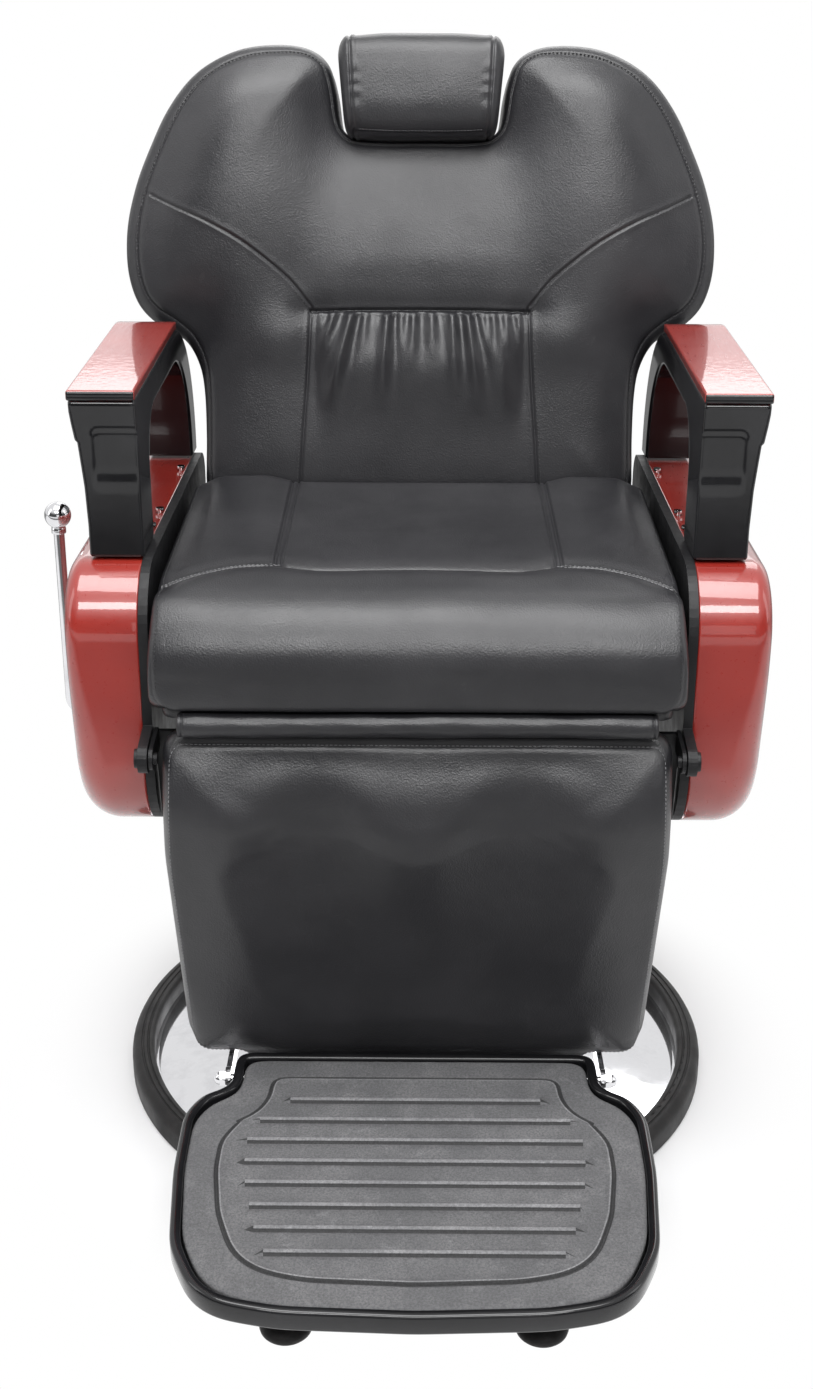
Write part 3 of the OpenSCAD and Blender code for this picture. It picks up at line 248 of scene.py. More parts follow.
# ---- materials --------------------------------------------------------------
class Finish(Nodes):
    """A material with its shader's constants set, and short calls for the textures that vary it."""

    def __init__(self, name, color, roughness, **constants):
        """constants are the shader's other sockets, with _ for each space in their names."""
        self.material = bpy.data.materials.new(name)
        self.material.diffuse_color = (*color, 1)
        super().__init__(self.material)
        self.shader = self.tree.nodes["Principled BSDF"]
        self.shader.inputs["Base Color"].default_value = (*color, 1)
        self.shader.inputs["Roughness"].default_value = roughness
        for socket, value in constants.items():
            self.shader.inputs[socket.replace("_", " ")].default_value = value
        self.place = self.node("TexCoord").outputs["Object"]

    def stretched(self, x, y, z):
        """The place on the object, stretched by these factors along its axes."""
        made = self.node("Mapping")
        made.inputs["Scale"].default_value = (x, y, z)
        self.link(self.place, made.inputs["Vector"])
        return made.outputs["Vector"]

    def noise(self, scale, detail=3, roughness=0.55, distortion=0, place=None):
        """Noise from 0 to 1; scale is in cells per metre."""
        made = self.node("TexNoise")
        made.inputs["Scale"].default_value = scale
        made.inputs["Detail"].default_value = detail
        made.inputs["Roughness"].default_value = roughness
        made.inputs["Distortion"].default_value = distortion
        self.link(place or self.place, made.inputs["Vector"])
        return made.outputs["Fac"]

    def cells(self, scale, feature="F1"):
        """Distance from the middle of each grain; scale is in grains per metre."""
        made = self.node("TexVoronoi", feature=feature)
        made.inputs["Scale"].default_value = scale
        self.link(self.place, made.inputs["Vector"])
        return made.outputs["Distance"]

    def blend(self, factor, a, b):
        """Mixes two colours by a factor; each is a colour or a socket."""
        made = self.node("Mix", data_type="RGBA")
        self.link(factor, made.inputs["Factor"])
        for socket, value in ((made.inputs[6], a), (made.inputs[7], b)):
            if isinstance(value, tuple):
                socket.default_value = (*value, 1)
            else:
                self.link(value, socket)
        return made.outputs[2]

    def color(self, socket):
        self.link(socket, self.shader.inputs["Base Color"])

    def roughness(self, socket):
        self.link(socket, self.shader.inputs["Roughness"])

    def bump(self, height, strength, distance, under=None):
        """A normal from a height; under is another bump that it lies on."""
        made = self.node("Bump")
        made.inputs["Strength"].default_value = strength
        made.inputs["Distance"].default_value = distance
        self.link(height, made.inputs["Height"])
        if under:
            self.link(under, made.inputs["Normal"])
        return made.outputs["Normal"]

    def normal(self, socket, coat=False):
        self.link(socket, self.shader.inputs["Coat Normal" if coat else "Normal"])


def make_leather():
    """Charcoal upholstery leather: pebbled grain, faint creasing, and worn and dusty patches."""
    dark, worn = (0.0165, 0.0163, 0.0187), (0.028, 0.0275, 0.0305)
    f = Finish("black_leather", dark, 0.36, Specular_IOR_Level=0.58)
    wear = f.range(f.noise(7, 4, 0.6), 0.42, 0.72, 0, 1)
    scuff = f.range(f.noise(60, 7, 0.78, 0.4, f.stretched(1, 0.45, 0.45)), 0.6, 0.76, 0, 0.28)
    f.color(f.blend(scuff, f.blend(wear, dark, worn), (0.075, 0.075, 0.077)))
    grain = f.math("ADD", f.cells(620, "SMOOTH_F1"), f.math("MULTIPLY", f.noise(1500, 2), 0.5))
    f.roughness(f.range(f.math("ADD", f.noise(18, 3), f.math("MULTIPLY", scuff, 0.4)), 0.3, 0.8, 0.31, 0.44))
    creases = f.bump(f.noise(34, 4, 0.55, 0.3), 0.12, 0.0035)
    f.normal(f.bump(grain, 0.34, 0.0007, creases))
    return f.material


def make_thread(name, color):
    """Waxed sewing thread, with the twist of its plies."""
    f = Finish(name, color, 0.5, Sheen_Weight=0.2)
    twist = f.noise(2600, 1)
    f.color(f.blend(twist, color, tuple(c * 1.6 for c in color)))
    f.normal(f.bump(twist, 0.3, 0.0002))
    return f.material


def make_lacquer():
    """Deep red high-gloss lacquer under a clear coat, with fine orange peel and polishing marks."""
    deep, bright = (0.290, 0.0200, 0.0140), (0.340, 0.028, 0.019)
    f = Finish("red_lacquer", deep, 0.32, Coat_Weight=1, Coat_Roughness=0.025, Coat_IOR=1.55)
    f.color(f.blend(f.range(f.noise(9, 3), 0.35, 0.7, 0, 1), deep, bright))
    polish = f.noise(240, 4, 0.7, 0, f.stretched(1, 0.12, 1))
    f.roughness(f.range(polish, 0.3, 0.8, 0.26, 0.4))
    peel = f.bump(f.noise(120, 2), 0.05, 0.0012)
    f.normal(peel)
    f.normal(peel, coat=True)
    return f.material


def make_gloss_black():
    """Moulded black plastic with a hard gloss, hairline scratches and finger marks."""
    f = Finish("gloss_black", (0.009, 0.009, 0.010), 0.07, Specular_IOR_Level=0.4, Coat_Weight=0.25,
               Coat_Roughness=0.04)
    f.color(f.blend(f.range(f.noise(14, 4), 0.4, 0.8, 0, 1), (0.008, 0.008, 0.009), (0.016, 0.016, 0.018)))
    hairline = f.noise(300, 4, 0.8, 0.4, f.stretched(1, 1, 0.08))
    marks = f.math("MULTIPLY", f.noise(22, 5, 0.65), hairline)
    f.roughness(f.range(marks, 0.1, 0.5, 0.05, 0.2))
    f.normal(f.bump(f.noise(55, 2), 0.04, 0.0015))
    return f.material


def make_chrome():
    """Polished chrome plate with faint smudges."""
    f = Finish("chrome", (0.83, 0.83, 0.85), 0.06, Metallic=1)
    smudge = f.noise(26, 5, 0.65)
    f.color(f.blend(f.range(smudge, 0.45, 0.8, 0, 1), (0.85, 0.85, 0.87), (0.70, 0.70, 0.72)))
    f.roughness(f.range(smudge, 0.4, 0.8, 0.04, 0.17))
    f.normal(f.bump(f.noise(45, 2), 0.02, 0.002))
    return f.material


def make_rubber():
    """Moulded dark rubber, satin, with dust rubbed into it."""
    dark, dusty = (0.010, 0.0095, 0.0098), (0.026, 0.0235, 0.0235)
    f = Finish("black_rubber", dark, 0.5, Specular_IOR_Level=0.25)
    dust = f.range(f.noise(42, 6, 0.7), 0.46, 0.74, 0, 1)
    f.color(f.blend(dust, dark, dusty))
    f.roughness(f.range(f.noise(30, 4), 0.3, 0.75, 0.4, 0.62))
    f.normal(f.bump(f.noise(900, 3), 0.22, 0.0005))
    return f.material


def make_mat_rubber(name, shade):
    """The footrest's grey rubber, matte and scuffed pale by shoes. shade darkens or lightens all of it; the
    darker and lighter copies paint shade into the mat's grooves and a highlight onto its ribs.
    """
    tones = (0.142, 0.142, 0.147), (0.205, 0.203, 0.208), (0.062, 0.062, 0.065)
    grey, worn, dirt = [tuple(shade * c for c in tone) for tone in tones]
    f = Finish(name, grey, 0.78, Specular_IOR_Level=0.3)
    patch = f.range(f.noise(13, 6, 0.68, 0.6), 0.4, 0.68, 0, 1)
    streak = f.range(f.noise(46, 8, 0.8, 0.9), 0.56, 0.74, 0, 0.55)
    speck = f.range(f.noise(430, 4, 0.75), 0.4, 0.62, 0, 1)
    body = f.blend(streak, f.blend(patch, grey, worn), tuple(2.5 * c for c in grey))
    f.color(f.blend(f.math("MULTIPLY", speck, 0.6), body, dirt))
    f.roughness(f.range(patch, 0, 1, 0.62, 0.86))
    pebble = f.math("ADD", f.noise(1000, 3, 0.7), f.cells(760))
    f.normal(f.bump(pebble, 0.5, 0.0006))
    return f.material


def make_black_steel():
    """Black powder coat: a fine pebbled skin, semi-gloss."""
    f = Finish("black_steel", (0.009, 0.009, 0.010), 0.4, Specular_IOR_Level=0.3)
    f.color(f.blend(f.range(f.noise(20, 4), 0.45, 0.75, 0, 1), (0.008, 0.008, 0.009), (0.017, 0.017, 0.018)))
    f.roughness(f.range(f.noise(60, 3), 0.3, 0.7, 0.36, 0.52))
    f.normal(f.bump(f.noise(520, 2), 0.16, 0.0007))
    return f.material


def make_steel():
    """Machined and brushed steel, a little stained with oil."""
    f = Finish("steel", (0.42, 0.42, 0.44), 0.34, Metallic=1)
    brushed = f.noise(420, 4, 0.7, 0, f.stretched(1, 1, 0.06))
    stain = f.range(f.noise(16, 5, 0.7), 0.5, 0.8, 0, 1)
    f.color(f.blend(stain, (0.46, 0.46, 0.48), (0.25, 0.23, 0.21)))
    f.roughness(f.range(brushed, 0.3, 0.75, 0.26, 0.5))
    f.normal(f.bump(brushed, 0.12, 0.0005))
    return f.material


def make_plywood():
    """Bare birch plywood: long grain, plies and a few stains."""
    pale, brown = (0.56, 0.40, 0.24), (0.36, 0.22, 0.11)
    f = Finish("plywood", pale, 0.62, Specular_IOR_Level=0.3)
    grain = f.noise(60, 7, 0.68, 1.4, f.stretched(0.09, 1, 1))
    ply = f.node("TexWave", wave_type="BANDS", bands_direction="Y", wave_profile="TRI")
    ply.inputs["Scale"].default_value = 160
    ply.inputs["Distortion"].default_value = 0.6
    f.link(f.place, ply.inputs["Vector"])
    body = f.blend(f.range(grain, 0.35, 0.7, 0, 1), pale, brown)
    f.color(f.blend(f.math("MULTIPLY", ply.outputs["Fac"], 0.22), body, (0.18, 0.11, 0.06)))
    f.roughness(f.range(grain, 0.3, 0.7, 0.55, 0.75))
    f.normal(f.bump(grain, 0.2, 0.0008))
    return f.material


LOOKS = {
    "black_leather": make_leather(),
    "red_lacquer": make_lacquer(),
    "gloss_black": make_gloss_black(),
    "chrome": make_chrome(),
    "black_rubber": make_rubber(),
    "grey_rubber": make_mat_rubber("grey_rubber", 1),
    # Darker and lighter copies of the mat's rubber: painted shade for its grooves, painted highlight for its
    # ribs
    "painted_shade_rubber": make_mat_rubber("painted_shade_rubber", 0.3),
    "painted_highlight_rubber": make_mat_rubber("painted_highlight_rubber", 1.65),
    "black_steel": make_black_steel(),
    "steel": make_steel(),
    "plywood": make_plywood(),
    "dark_thread": make_thread("dark_thread", (0.010, 0.010, 0.011)),
    "grey_thread": make_thread("grey_thread", (0.16, 0.16, 0.165)),
}


# ---- mesh tools -------------------------------------------------------------
def new_mesh(name, points, faces, look):
    """An object from points in millimetres. look is the name of its finish."""
    mesh = bpy.data.meshes.new(name)
    mesh.from_pydata([tuple(p) for p in np.asarray(points, float) * MM], [], [tuple(f) for f in faces])
    mesh.materials.append(LOOKS[look])
    mesh.polygons.foreach_set("use_smooth", [True] * len(mesh.polygons))
    piece = bpy.data.objects.new(name, mesh)
    bpy.context.collection.objects.link(piece)
    return piece


def quads(a, b):
    """Faces between two rings of point numbers."""
    n = len(a)
    return [(a[q], a[(q + 1) % n], b[(q + 1) % n], b[q]) for q in range(n)]


def ring_faces(count, n, first=0, closed=False, caps=(True, True)):
    """Faces of a row of rings, each of n points that run counter-clockwise seen from the last ring.

    closed joins the last ring to the first one; caps says which ends get a face.
    """
    rings = [first + k * n + np.arange(n) for k in range(count)]
    pairs = list(zip(rings[:-1], rings[1:]))
    if closed:
        pairs.append((rings[-1], rings[0]))
    faces = [face for a, b in pairs for face in quads(a, b)]
    if caps[0]:
        faces.append(tuple(rings[0][::-1]))
    if caps[1]:
        faces.append(tuple(rings[-1]))
    return faces


def points_of(piece):
    """The mesh's points in millimetres."""
    flat = np.zeros(len(piece.data.vertices) * 3, np.float32)
    piece.data.vertices.foreach_get("co", flat)
    return flat.reshape(-1, 3).astype(float) / MM


def set_points(piece, points):
    """Moves the mesh's points, given in millimetres."""
    piece.data.vertices.foreach_set("co", (np.asarray(points) * MM).astype(np.float32).ravel())
    piece.data.update()


def apply_modifiers(piece):
    """The mesh as its modifiers leave it becomes the piece's own."""
    seen = piece.evaluated_get(bpy.context.evaluated_depsgraph_get())
    mesh = bpy.data.meshes.new_from_object(seen)
    piece.modifiers.clear()
    old = piece.data
    piece.data = mesh
    mesh.name = piece.name
    bpy.data.meshes.remove(old)


def placed(points, degrees, at):
    """Points turned by an angle about the x axis, then moved by at, a (y, z)."""
    c, s = math.cos(math.radians(degrees)), math.sin(math.radians(degrees))
    p = np.array(points, float)
    y, z = p[..., 1].copy(), p[..., 2].copy()
    p[..., 1] = y * c - z * s + at[0]
    p[..., 2] = y * s + z * c + at[1]
    return p


def ramp(low, high, value):
    """0 below low, 1 above high and smooth between, also where low is the larger."""
    t = np.clip((np.asarray(value, float) - low) / (high - low), 0, 1)
    return t * t * (3 - 2 * t)


def bell(middle, width, value):
    """1 at the middle, falling off on both sides."""
    return np.exp(-(((np.asarray(value, float) - middle) / width) ** 2))


def spline(points, count):
    """count points, evenly spaced, on a smooth curve through the given ones."""
    p = np.array(points, float)
    p = np.vstack([2 * p[0] - p[1], p, 2 * p[-1] - p[-2]])
    t = np.linspace(0, 1, 16, endpoint=False)[:, None]
    runs = []
    for a, b, c, d in zip(p[:-3], p[1:-2], p[2:-1], p[3:]):
        runs.append(0.5 * (2 * b + (c - a) * t + (2 * a - 5 * b + 4 * c - d) * t ** 2
                           + (3 * b - a - 3 * c + d) * t ** 3))
    return resample(np.vstack(runs + [p[-2:-1]]), count)


def lengths_along(line):
    """Arc length from a line's start to each of its points."""
    return np.concatenate([[0], np.cumsum(np.linalg.norm(np.diff(line, axis=0), axis=1))])


def length_of(line):
    """Arc length of a whole line."""
    return float(lengths_along(np.asarray(line, float))[-1])


def read_at(at, run, values):
    """Rows of values, given at arc lengths run, read at other ones."""
    return np.stack([np.interp(at, run, column) for column in np.asarray(values).T], axis=-1)


def resample(line, count):
    """count points, evenly spaced, on a line of points."""
    line = np.asarray(line, float)
    run = lengths_along(line)
    return read_at(np.linspace(0, run[-1], count), run, line)


def to_line(points, line):
    """Distance of 2D points to a line of points, and the side: above 0 on its left."""
    best = np.full(len(points), 1e9)
    side = np.zeros(len(points))
    for a, b in zip(line[:-1], line[1:]):
        d = b - a
        t = np.clip((points - a) @ d / (d @ d), 0, 1)
        off = points - (a + t[:, None] * d)
        gap = np.hypot(off[:, 0], off[:, 1])
        nearer = gap < best
        best[nearer] = gap[nearer]
        side[nearer] = np.sign(d[0] * off[nearer, 1] - d[1] * off[nearer, 0])
    return best, side


def evened(piece, values, fixed, rounds):
    """Values on the mesh's points, averaged with those of their neighbours; fixed points keep theirs."""
    ends = np.zeros(len(piece.data.edges) * 2, np.int32)
    piece.data.edges.foreach_get("vertices", ends)
    ends = ends.reshape(-1, 2)
    count = np.bincount(ends.ravel(), minlength=len(values))[:, None]
    for _ in range(rounds):
        total = np.zeros_like(values)
        np.add.at(total, ends[:, 0], values[ends[:, 1]])
        np.add.at(total, ends[:, 1], values[ends[:, 0]])
        values = np.where(fixed[:, None], values, 0.4 * values + 0.6 * total / count)
    return values


def puff(piece, pinned, pressure, cap, even=6):
    """Cloth under pressure fills the cover out between its pinned points.

    No point moves more than cap mm. even is how often the moves are averaged with those around them.
    """
    frames = 20
    rest = points_of(piece)
    group = piece.vertex_groups.new(name="seams")
    group.add([int(k) for k in np.flatnonzero(pinned)], 1, "REPLACE")
    cloth = piece.modifiers.new("cloth", "CLOTH")
    cloth.settings.quality = 5
    cloth.settings.mass = 0.35
    cloth.settings.tension_stiffness = 18
    cloth.settings.compression_stiffness = 18
    cloth.settings.shear_stiffness = 6
    cloth.settings.bending_stiffness = 0.6
    cloth.settings.use_pressure = True
    cloth.settings.uniform_pressure_force = pressure
    cloth.settings.vertex_group_mass = group.name
    cloth.settings.effector_weights.gravity = 0
    cloth.point_cache.frame_start = 1
    cloth.point_cache.frame_end = frames
    for step in range(1, frames + 1):
        bpy.context.scene.frame_set(step)
    apply_modifiers(piece)
    piece.vertex_groups.clear()
    bpy.context.scene.frame_set(1)
    moved = evened(piece, points_of(piece) - rest, pinned, even)
    far = np.linalg.norm(moved, axis=1, keepdims=True)
    set_points(piece, rest + moved * np.minimum(1, cap / np.maximum(far, 1e-6)))


def tree_of(piece):
    """For rays and nearest points, in millimetres."""
    faces = [tuple(face.vertices) for face in piece.data.polygons]
    return BVHTree.FromPolygons([tuple(p) for p in points_of(piece)], faces)


def nearest(tree, points):
    """The nearest points on the piece, with the normals there."""
    hits = [tree.find_nearest(Vector(p)) for p in points]
    return np.array([h[0] for h in hits]), np.array([h[1] for h in hits])


def circle(sides):
    """Points round the unit circle."""
    a = np.linspace(0, math.tau, sides, endpoint=False)
    return np.stack([np.cos(a), np.sin(a)], axis=1)


def stitches(name, body, runs, look, length=3.1, pitch=4.6, thick=0.42):
    """Thread along runs of (points, normals): each stitch is a small bowed bead that dips in at its ends."""
    # How far along, how wide and how high each ring of a stitch lies, as shares of its length and thickness
    profile = [(-0.5, 0.3, -0.6), (-0.38, 0.9, 0.1), (0, 1, 0.45), (0.38, 0.9, 0.1), (0.5, 0.3, -0.6)]
    sides = 6
    lift = 0.1
    ring = circle(sides)
    points, faces = [], []
    for line, normals in runs:
        run = lengths_along(line)
        for at in np.arange(pitch, run[-1] - pitch / 2, pitch):
            middle = read_at(at, run, line)
            ahead = read_at(at + 1, run, line) - read_at(at - 1, run, line)
            ahead /= np.linalg.norm(ahead)
            across = np.cross(ahead, read_at(at, run, normals))
            across /= np.linalg.norm(across)
            up = np.cross(across, ahead)
            faces += ring_faces(len(profile), sides, len(points))
            for along, wide, high in profile:
                base = middle + ahead * along * length + up * (high * thick + lift)
                points += [base + (across * c + up * s) * thick * wide for c, s in ring]
    settle(new_mesh(name, points, faces, look), body, "black_leather")


def tube(name, line, radius, look, sides, closed=False):
    """A round tube along 3D points; closed joins its ends."""
    line = np.asarray(line, float)
    if closed:
        along = np.roll(line, -1, 0) - np.roll(line, 1, 0)
    else:
        along = np.gradient(line, axis=0)
    along /= np.linalg.norm(along, axis=1, keepdims=True)
    up = np.array([0.0, 0, 1]) if abs(along[0][2]) < 0.9 else np.array([0.0, 1, 0])
    points = []
    for p, t in zip(line, along):
        across = np.cross(t, up)
        across /= np.linalg.norm(across)
        up = np.cross(across, t)
        points += [p + radius * (across * c + up * s) for c, s in circle(sides)]
    faces = ring_faces(len(line), sides, closed=closed, caps=(not closed, not closed))
    return new_mesh(name, points, faces, look)


# ---- flat patterns, and the padded covers made from them --------------------
# Rows of points beside a seam and inside a pattern's edge, and how close to them the cloth is held
SEAM_ROWS = (1.2, 2.4, 4.0, 6.2)
EDGE_ROWS = (1.3, 3.0, 5.5, 9.0)
HELD_BY_SEAM = 3
HELD_BY_EDGE = 4


def closed_line(points, step):
    """An evenly spaced closed outline; its last point isn't repeated."""
    ring = np.vstack([points, points[:1]])
    return resample(ring, int(length_of(ring) / step) + 1)[:-1]


def outward(ring):
    """Unit normals of a counter-clockwise 2D outline."""
    along = np.roll(ring, -1, 0) - np.roll(ring, 1, 0)
    normal = np.stack([along[:, 1], -along[:, 0]], axis=1)
    return normal / np.linalg.norm(normal, axis=1, keepdims=True)


def sideways(line):
    """Unit normals of an open 2D line, on its left."""
    along = np.gradient(line, axis=0)
    normal = np.stack([-along[:, 1], along[:, 0]], axis=1)
    return normal / np.linalg.norm(normal, axis=1, keepdims=True)


def inside(points, ring):
    """Which 2D points lie inside a closed outline."""
    x, y = points[:, 0], points[:, 1]
    hit = np.zeros(len(points), bool)
    for (ax, ay), (bx, by) in zip(ring, np.roll(ring, -1, 0)):
        crosses = (ay > y) != (by > y)
        if crosses.any():
            hit ^= crosses & (x < (bx - ax) * (y - ay) / (by - ay + 1e-12) + ax)
    return hit


def honeycomb(low, high, step):
    """Points of even triangles over a box."""
    rows = np.arange(low[1], high[1], step * 0.866)
    return np.array([(x + k % 2 * step / 2, y) for k, y in enumerate(rows)
                     for x in np.arange(low[0], high[0], step)])


class Pattern:
    """A cut piece of cover: 2D points and triangles inside an outline, with rows of points along its seams.

    The outline's points come first. fine is (low corner, high corner, step) of a zone with small folds.
    """

    def __init__(self, outline, seams=(), step=5.5, fine=None):
        self.rim = len(outline)
        ring = np.vstack([outline, outline[:1]])
        loose = honeycomb(outline.min(0), outline.max(0), step)
        if fine:
            low, high, small = fine
            out = ((loose < low) | (loose > high)).any(1)
            loose = np.vstack([loose[out], honeycomb(low, high, small)])
        loose = loose[inside(loose, outline)]
        self.seams = [resample(seam, max(3, int(length_of(seam) / (0.75 * step)))) for seam in seams]
        rows = list(self.seams)
        for d in EDGE_ROWS:
            rows.append(outline - outward(outline) * d)
        for d in SEAM_ROWS:
            for line in self.seams:
                rows += [line + sideways(line) * d, line - sideways(line) * d]
        gap = to_line(loose, ring)[0]
        loose = loose[gap > EDGE_ROWS[-1] + 0.5 * step]
        for line in self.seams:
            loose = loose[to_line(loose, line)[0] > SEAM_ROWS[-1] + 0.3 * step]
        along = np.vstack(rows)
        along = along[inside(along, outline)]
        along = along[to_line(along, ring)[0] > 1.0]
        candidates = np.vstack([outline, along, loose])
        keep = self.apart(candidates, 1.05)
        points = [Vector(p) for p in candidates[keep]]
        edges = [(i, (i + 1) % self.rim) for i in range(self.rim)]
        made, _, faces, origin, _, _ = delaunay_2d_cdt(points, edges, [], 1, 1e-6)
        order = {old[0]: k for k, old in enumerate(origin) if old}
        front = [order[i] for i in range(self.rim)]
        rest = [k for k in range(len(made)) if k not in set(front)]
        place = {k: n for n, k in enumerate(front + rest)}
        self.points = np.array([made[k][:] for k in front + rest])
        self.faces = [tuple(place[k] for k in face) for face in faces]
        self.edge = to_line(self.points, ring)[0]

    @staticmethod
    def apart(points, least):
        """Indices of the points that lie at least this far from every kept point before them."""
        cells, keep = {}, []
        for k, p in enumerate(points):
            i, j = int(p[0] // least), int(p[1] // least)
            near = [q for a in (-1, 0, 1) for b in (-1, 0, 1) for q in cells.get((i + a, j + b), ())]
            if all((p[0] - points[q][0]) ** 2 + (p[1] - points[q][1]) ** 2 >= least ** 2 for q in near):
                cells.setdefault((i, j), []).append(k)
                keep.append(k)
        return keep


def cover(name, pattern, front, rings, look):
    """A closed padded cover: the pattern's sheet in 3D, rings of points round its rim, and a closing face."""
    n = pattern.rim
    points = np.vstack([front] + list(rings))
    faces = list(pattern.faces)
    loops = [np.arange(n)] + [len(front) + k * n + np.arange(n) for k in range(len(rings))]
    for a, b in zip(loops[:-1], loops[1:]):
        faces += quads(b, a)
    flat = [Vector(p) for p in pattern.points[:n]]
    _, _, closing, origin, _, _ = delaunay_2d_cdt(flat, [(i, (i + 1) % n) for i in range(n)], [], 1, 1e-6)
    last = loops[-1]
    for face in closing:
        faces.append(tuple(last[origin[k][0]] for k in reversed(face)))
    return new_mesh(name, points, faces, look)


def seam_dip(points, line, deep=1.8, wide=1.7, lip=0.7):
    """Height along a seam: a sharp groove with a rolled lip of leather on both sides."""
    gap = to_line(points, line)[0]
    return lip * bell(2.9, 1.5, gap) - deep * bell(0, wide, gap)


class Section:
    """A smooth line of (y, z) points, read by its arc length, with the normal on its left."""

    def __init__(self, points, count=400):
        self.line = resample(points, count)
        self.length = length_of(points)
        self.normal = sideways(self.line)
        self.at = np.linspace(0, self.length, count)

    def read(self, s):
        """The points at these arc lengths, with the normals there."""
        normal = read_at(s, self.at, self.normal)
        return read_at(s, self.at, self.line), normal / np.linalg.norm(normal, axis=-1, keepdims=True)


def arc(center, radius, start, end, count=12):
    """Points of an arc from one angle to another, in degrees."""
    a = np.radians(np.linspace(start, end, count))
    return np.stack([center[0] + radius * np.cos(a), center[1] + radius * np.sin(a)], axis=1)


def rounded(corners, radii, count=8):
    """A closed outline with its corners rounded, as the frame's own profiles are."""
    corners = np.array(corners, float)
    made = []
    for k, (p, r) in enumerate(zip(corners, radii)):
        a = corners[k - 1] - p
        b = corners[(k + 1) % len(corners)] - p
        a, b = a / np.linalg.norm(a), b / np.linalg.norm(b)
        half = math.acos(float(np.clip(a @ b, -1, 1))) / 2
        if r <= 0 or half > 1.55:
            made.append([p])
            continue
        middle = p + (a + b) / np.linalg.norm(a + b) * r / math.sin(half)
        s, e = p + a * r / math.tan(half), p + b * r / math.tan(half)
        a0 = math.atan2(*(s - middle)[::-1])
        turn = (math.atan2(*(e - middle)[::-1]) - a0 + 3 * math.pi) % math.tau - math.pi
        angles = a0 + turn * np.linspace(0, 1, count + 1)
        made.append(middle + r * np.stack([np.cos(angles), np.sin(angles)], axis=1))
    return np.vstack(made)


def held(piece, pattern):
    """Which points of a cover stay where they are drawn: its sides, and its sheet along edge and seams."""
    count = len(pattern.points)
    stay = np.ones(len(piece.data.vertices), bool)
    stay[:count] = pattern.edge < HELD_BY_EDGE
    for seam in pattern.seams:
        stay[:count] |= to_line(pattern.points, seam)[0] < HELD_BY_SEAM
    return stay


def stand_in(piece, body, node):
    """The padded piece stands in for a CAD cushion."""
    settle(piece, body, "black_leather", node)


def sewn(name, piece, runs, place, body, look="dark_thread"):
    """Stitches along lines of a pattern's plane: place turns them to 3D, and they settle on the piece."""
    tree = tree_of(piece)
    settled = [nearest(tree, place(resample(run, max(8, int(length_of(run) / 3))))) for run in runs]
    stitches(name, body, settled, look)


# ---- back -------------------------------------------------------------------
# The back's own frame: x, depth behind its front, and height v along its lean. Where it stands, and its lean
BACK_AT = (213, 669)
BACK_LEAN = -15
# Height of the waist seam, and depth of the seam round the front
SEAM_V = 193
SEAM_DEPTH = 8
# Right half of the back's silhouette from its middle at the bottom: x, height v, and how far inside it the
# front seam lies
BACK_EDGE = [
    (0, -40, 8), (150, -40, 8), (225, -39, 8), (250, -33, 8), (258, -14, 9), (258.5, 10, 9), (258, 45, 9),
    (259.5, 95, 10), (265, 128, 12), (279, 155, 14), (300, 171, 16), (322, 183, 18), (339, 203, 18),
    (349, 232, 18), (352, 265, 18), (349, 302, 18), (338, 345, 18), (322, 385, 18), (302, 426, 18),
    (276, 461, 17), (246, 484, 16), (208, 499, 15), (164, 503, 14), (130, 497, 11), (109, 480, 9),
    (100, 452, 8), (95.5, 420, 7.5), (91, 405, 7), (79, 396.5, 8), (50, 394.5, 9), (0, 394.5, 9),
]
WING_SEAM = [(335, 334), (321, 328), (290, 312.5), (252, 295), (212, 273), (180, 250), (154, 228), (133, 203),
             (125, 191)]
PANEL_SEAM = [(129, 192), (131, 150), (134, 100), (138, 50), (141, 5), (144, -38)]
WAIST_SEAM = [(-129, 192), (-70, 193.5), (0, 194), (70, 193.5), (129, 192)]
# Gathers under the waist seam: x at the seam, drift per mm down, length, height, width
GATHERS = [
    (-116, -0.12, 44, 3.4, 3.4), (-101, -0.36, 78, 6.2, 4.2), (-80, -0.26, 118, 8.4, 4.6),
    (-64, -0.12, 52, 4.0, 3.6), (-38, -0.08, 122, 8.6, 4.6), (-22, -0.10, 50, 4.2, 3.5),
    (-7, -0.06, 74, 6.2, 4.0), (14, 0.02, 58, 5.0, 3.8), (38, 0.04, 104, 7.6, 4.4),
    (56, 0.12, 124, 8.4, 4.6), (72, 0.08, 52, 4.2, 3.6), (86, 0.06, 70, 5.8, 4.0),
    (101, 0.05, 48, 4.2, 3.6), (116, 0.08, 62, 4.8, 3.6),
]
# Boxing from the front seam back over the board's edge: share of the seam's inset outwards, and depth
BACK_SIDES = [
    (0.03, 10.4), (0.16, 9.6), (0.34, 11.2), (0.62, 15), (0.85, 21), (0.97, 29), (1.0, 40), (1.02, 54),
    (1.06, 68), (1.1, 80), (1.1, 90), (1.04, 95.5), (0.88, 98.2), (0.5, 99),
]
PIPING_RADIUS = 3.4
PIPING_DEPTH = 99.6


def on_back(points):
    """From the back's own frame to the chair's."""
    return placed(points, BACK_LEAN, BACK_AT)


def mirrored(line):
    """The line on the other side of the middle plane."""
    return [(-p[0], *p[1:]) for p in line]


def back_outline(step):
    """The back's front seam line, with its outward normals and its insets, counter-clockwise."""
    whole = np.array(BACK_EDGE + mirrored(BACK_EDGE)[-2:0:-1], float)
    ring = spline(np.vstack([whole, whole[:1]]), int(length_of(whole[:, :2]) / step))[:-1]
    normal = outward(ring[:, :2])
    inset = ring[:, 2:]
    return ring[:, :2] - normal * inset, normal, inset


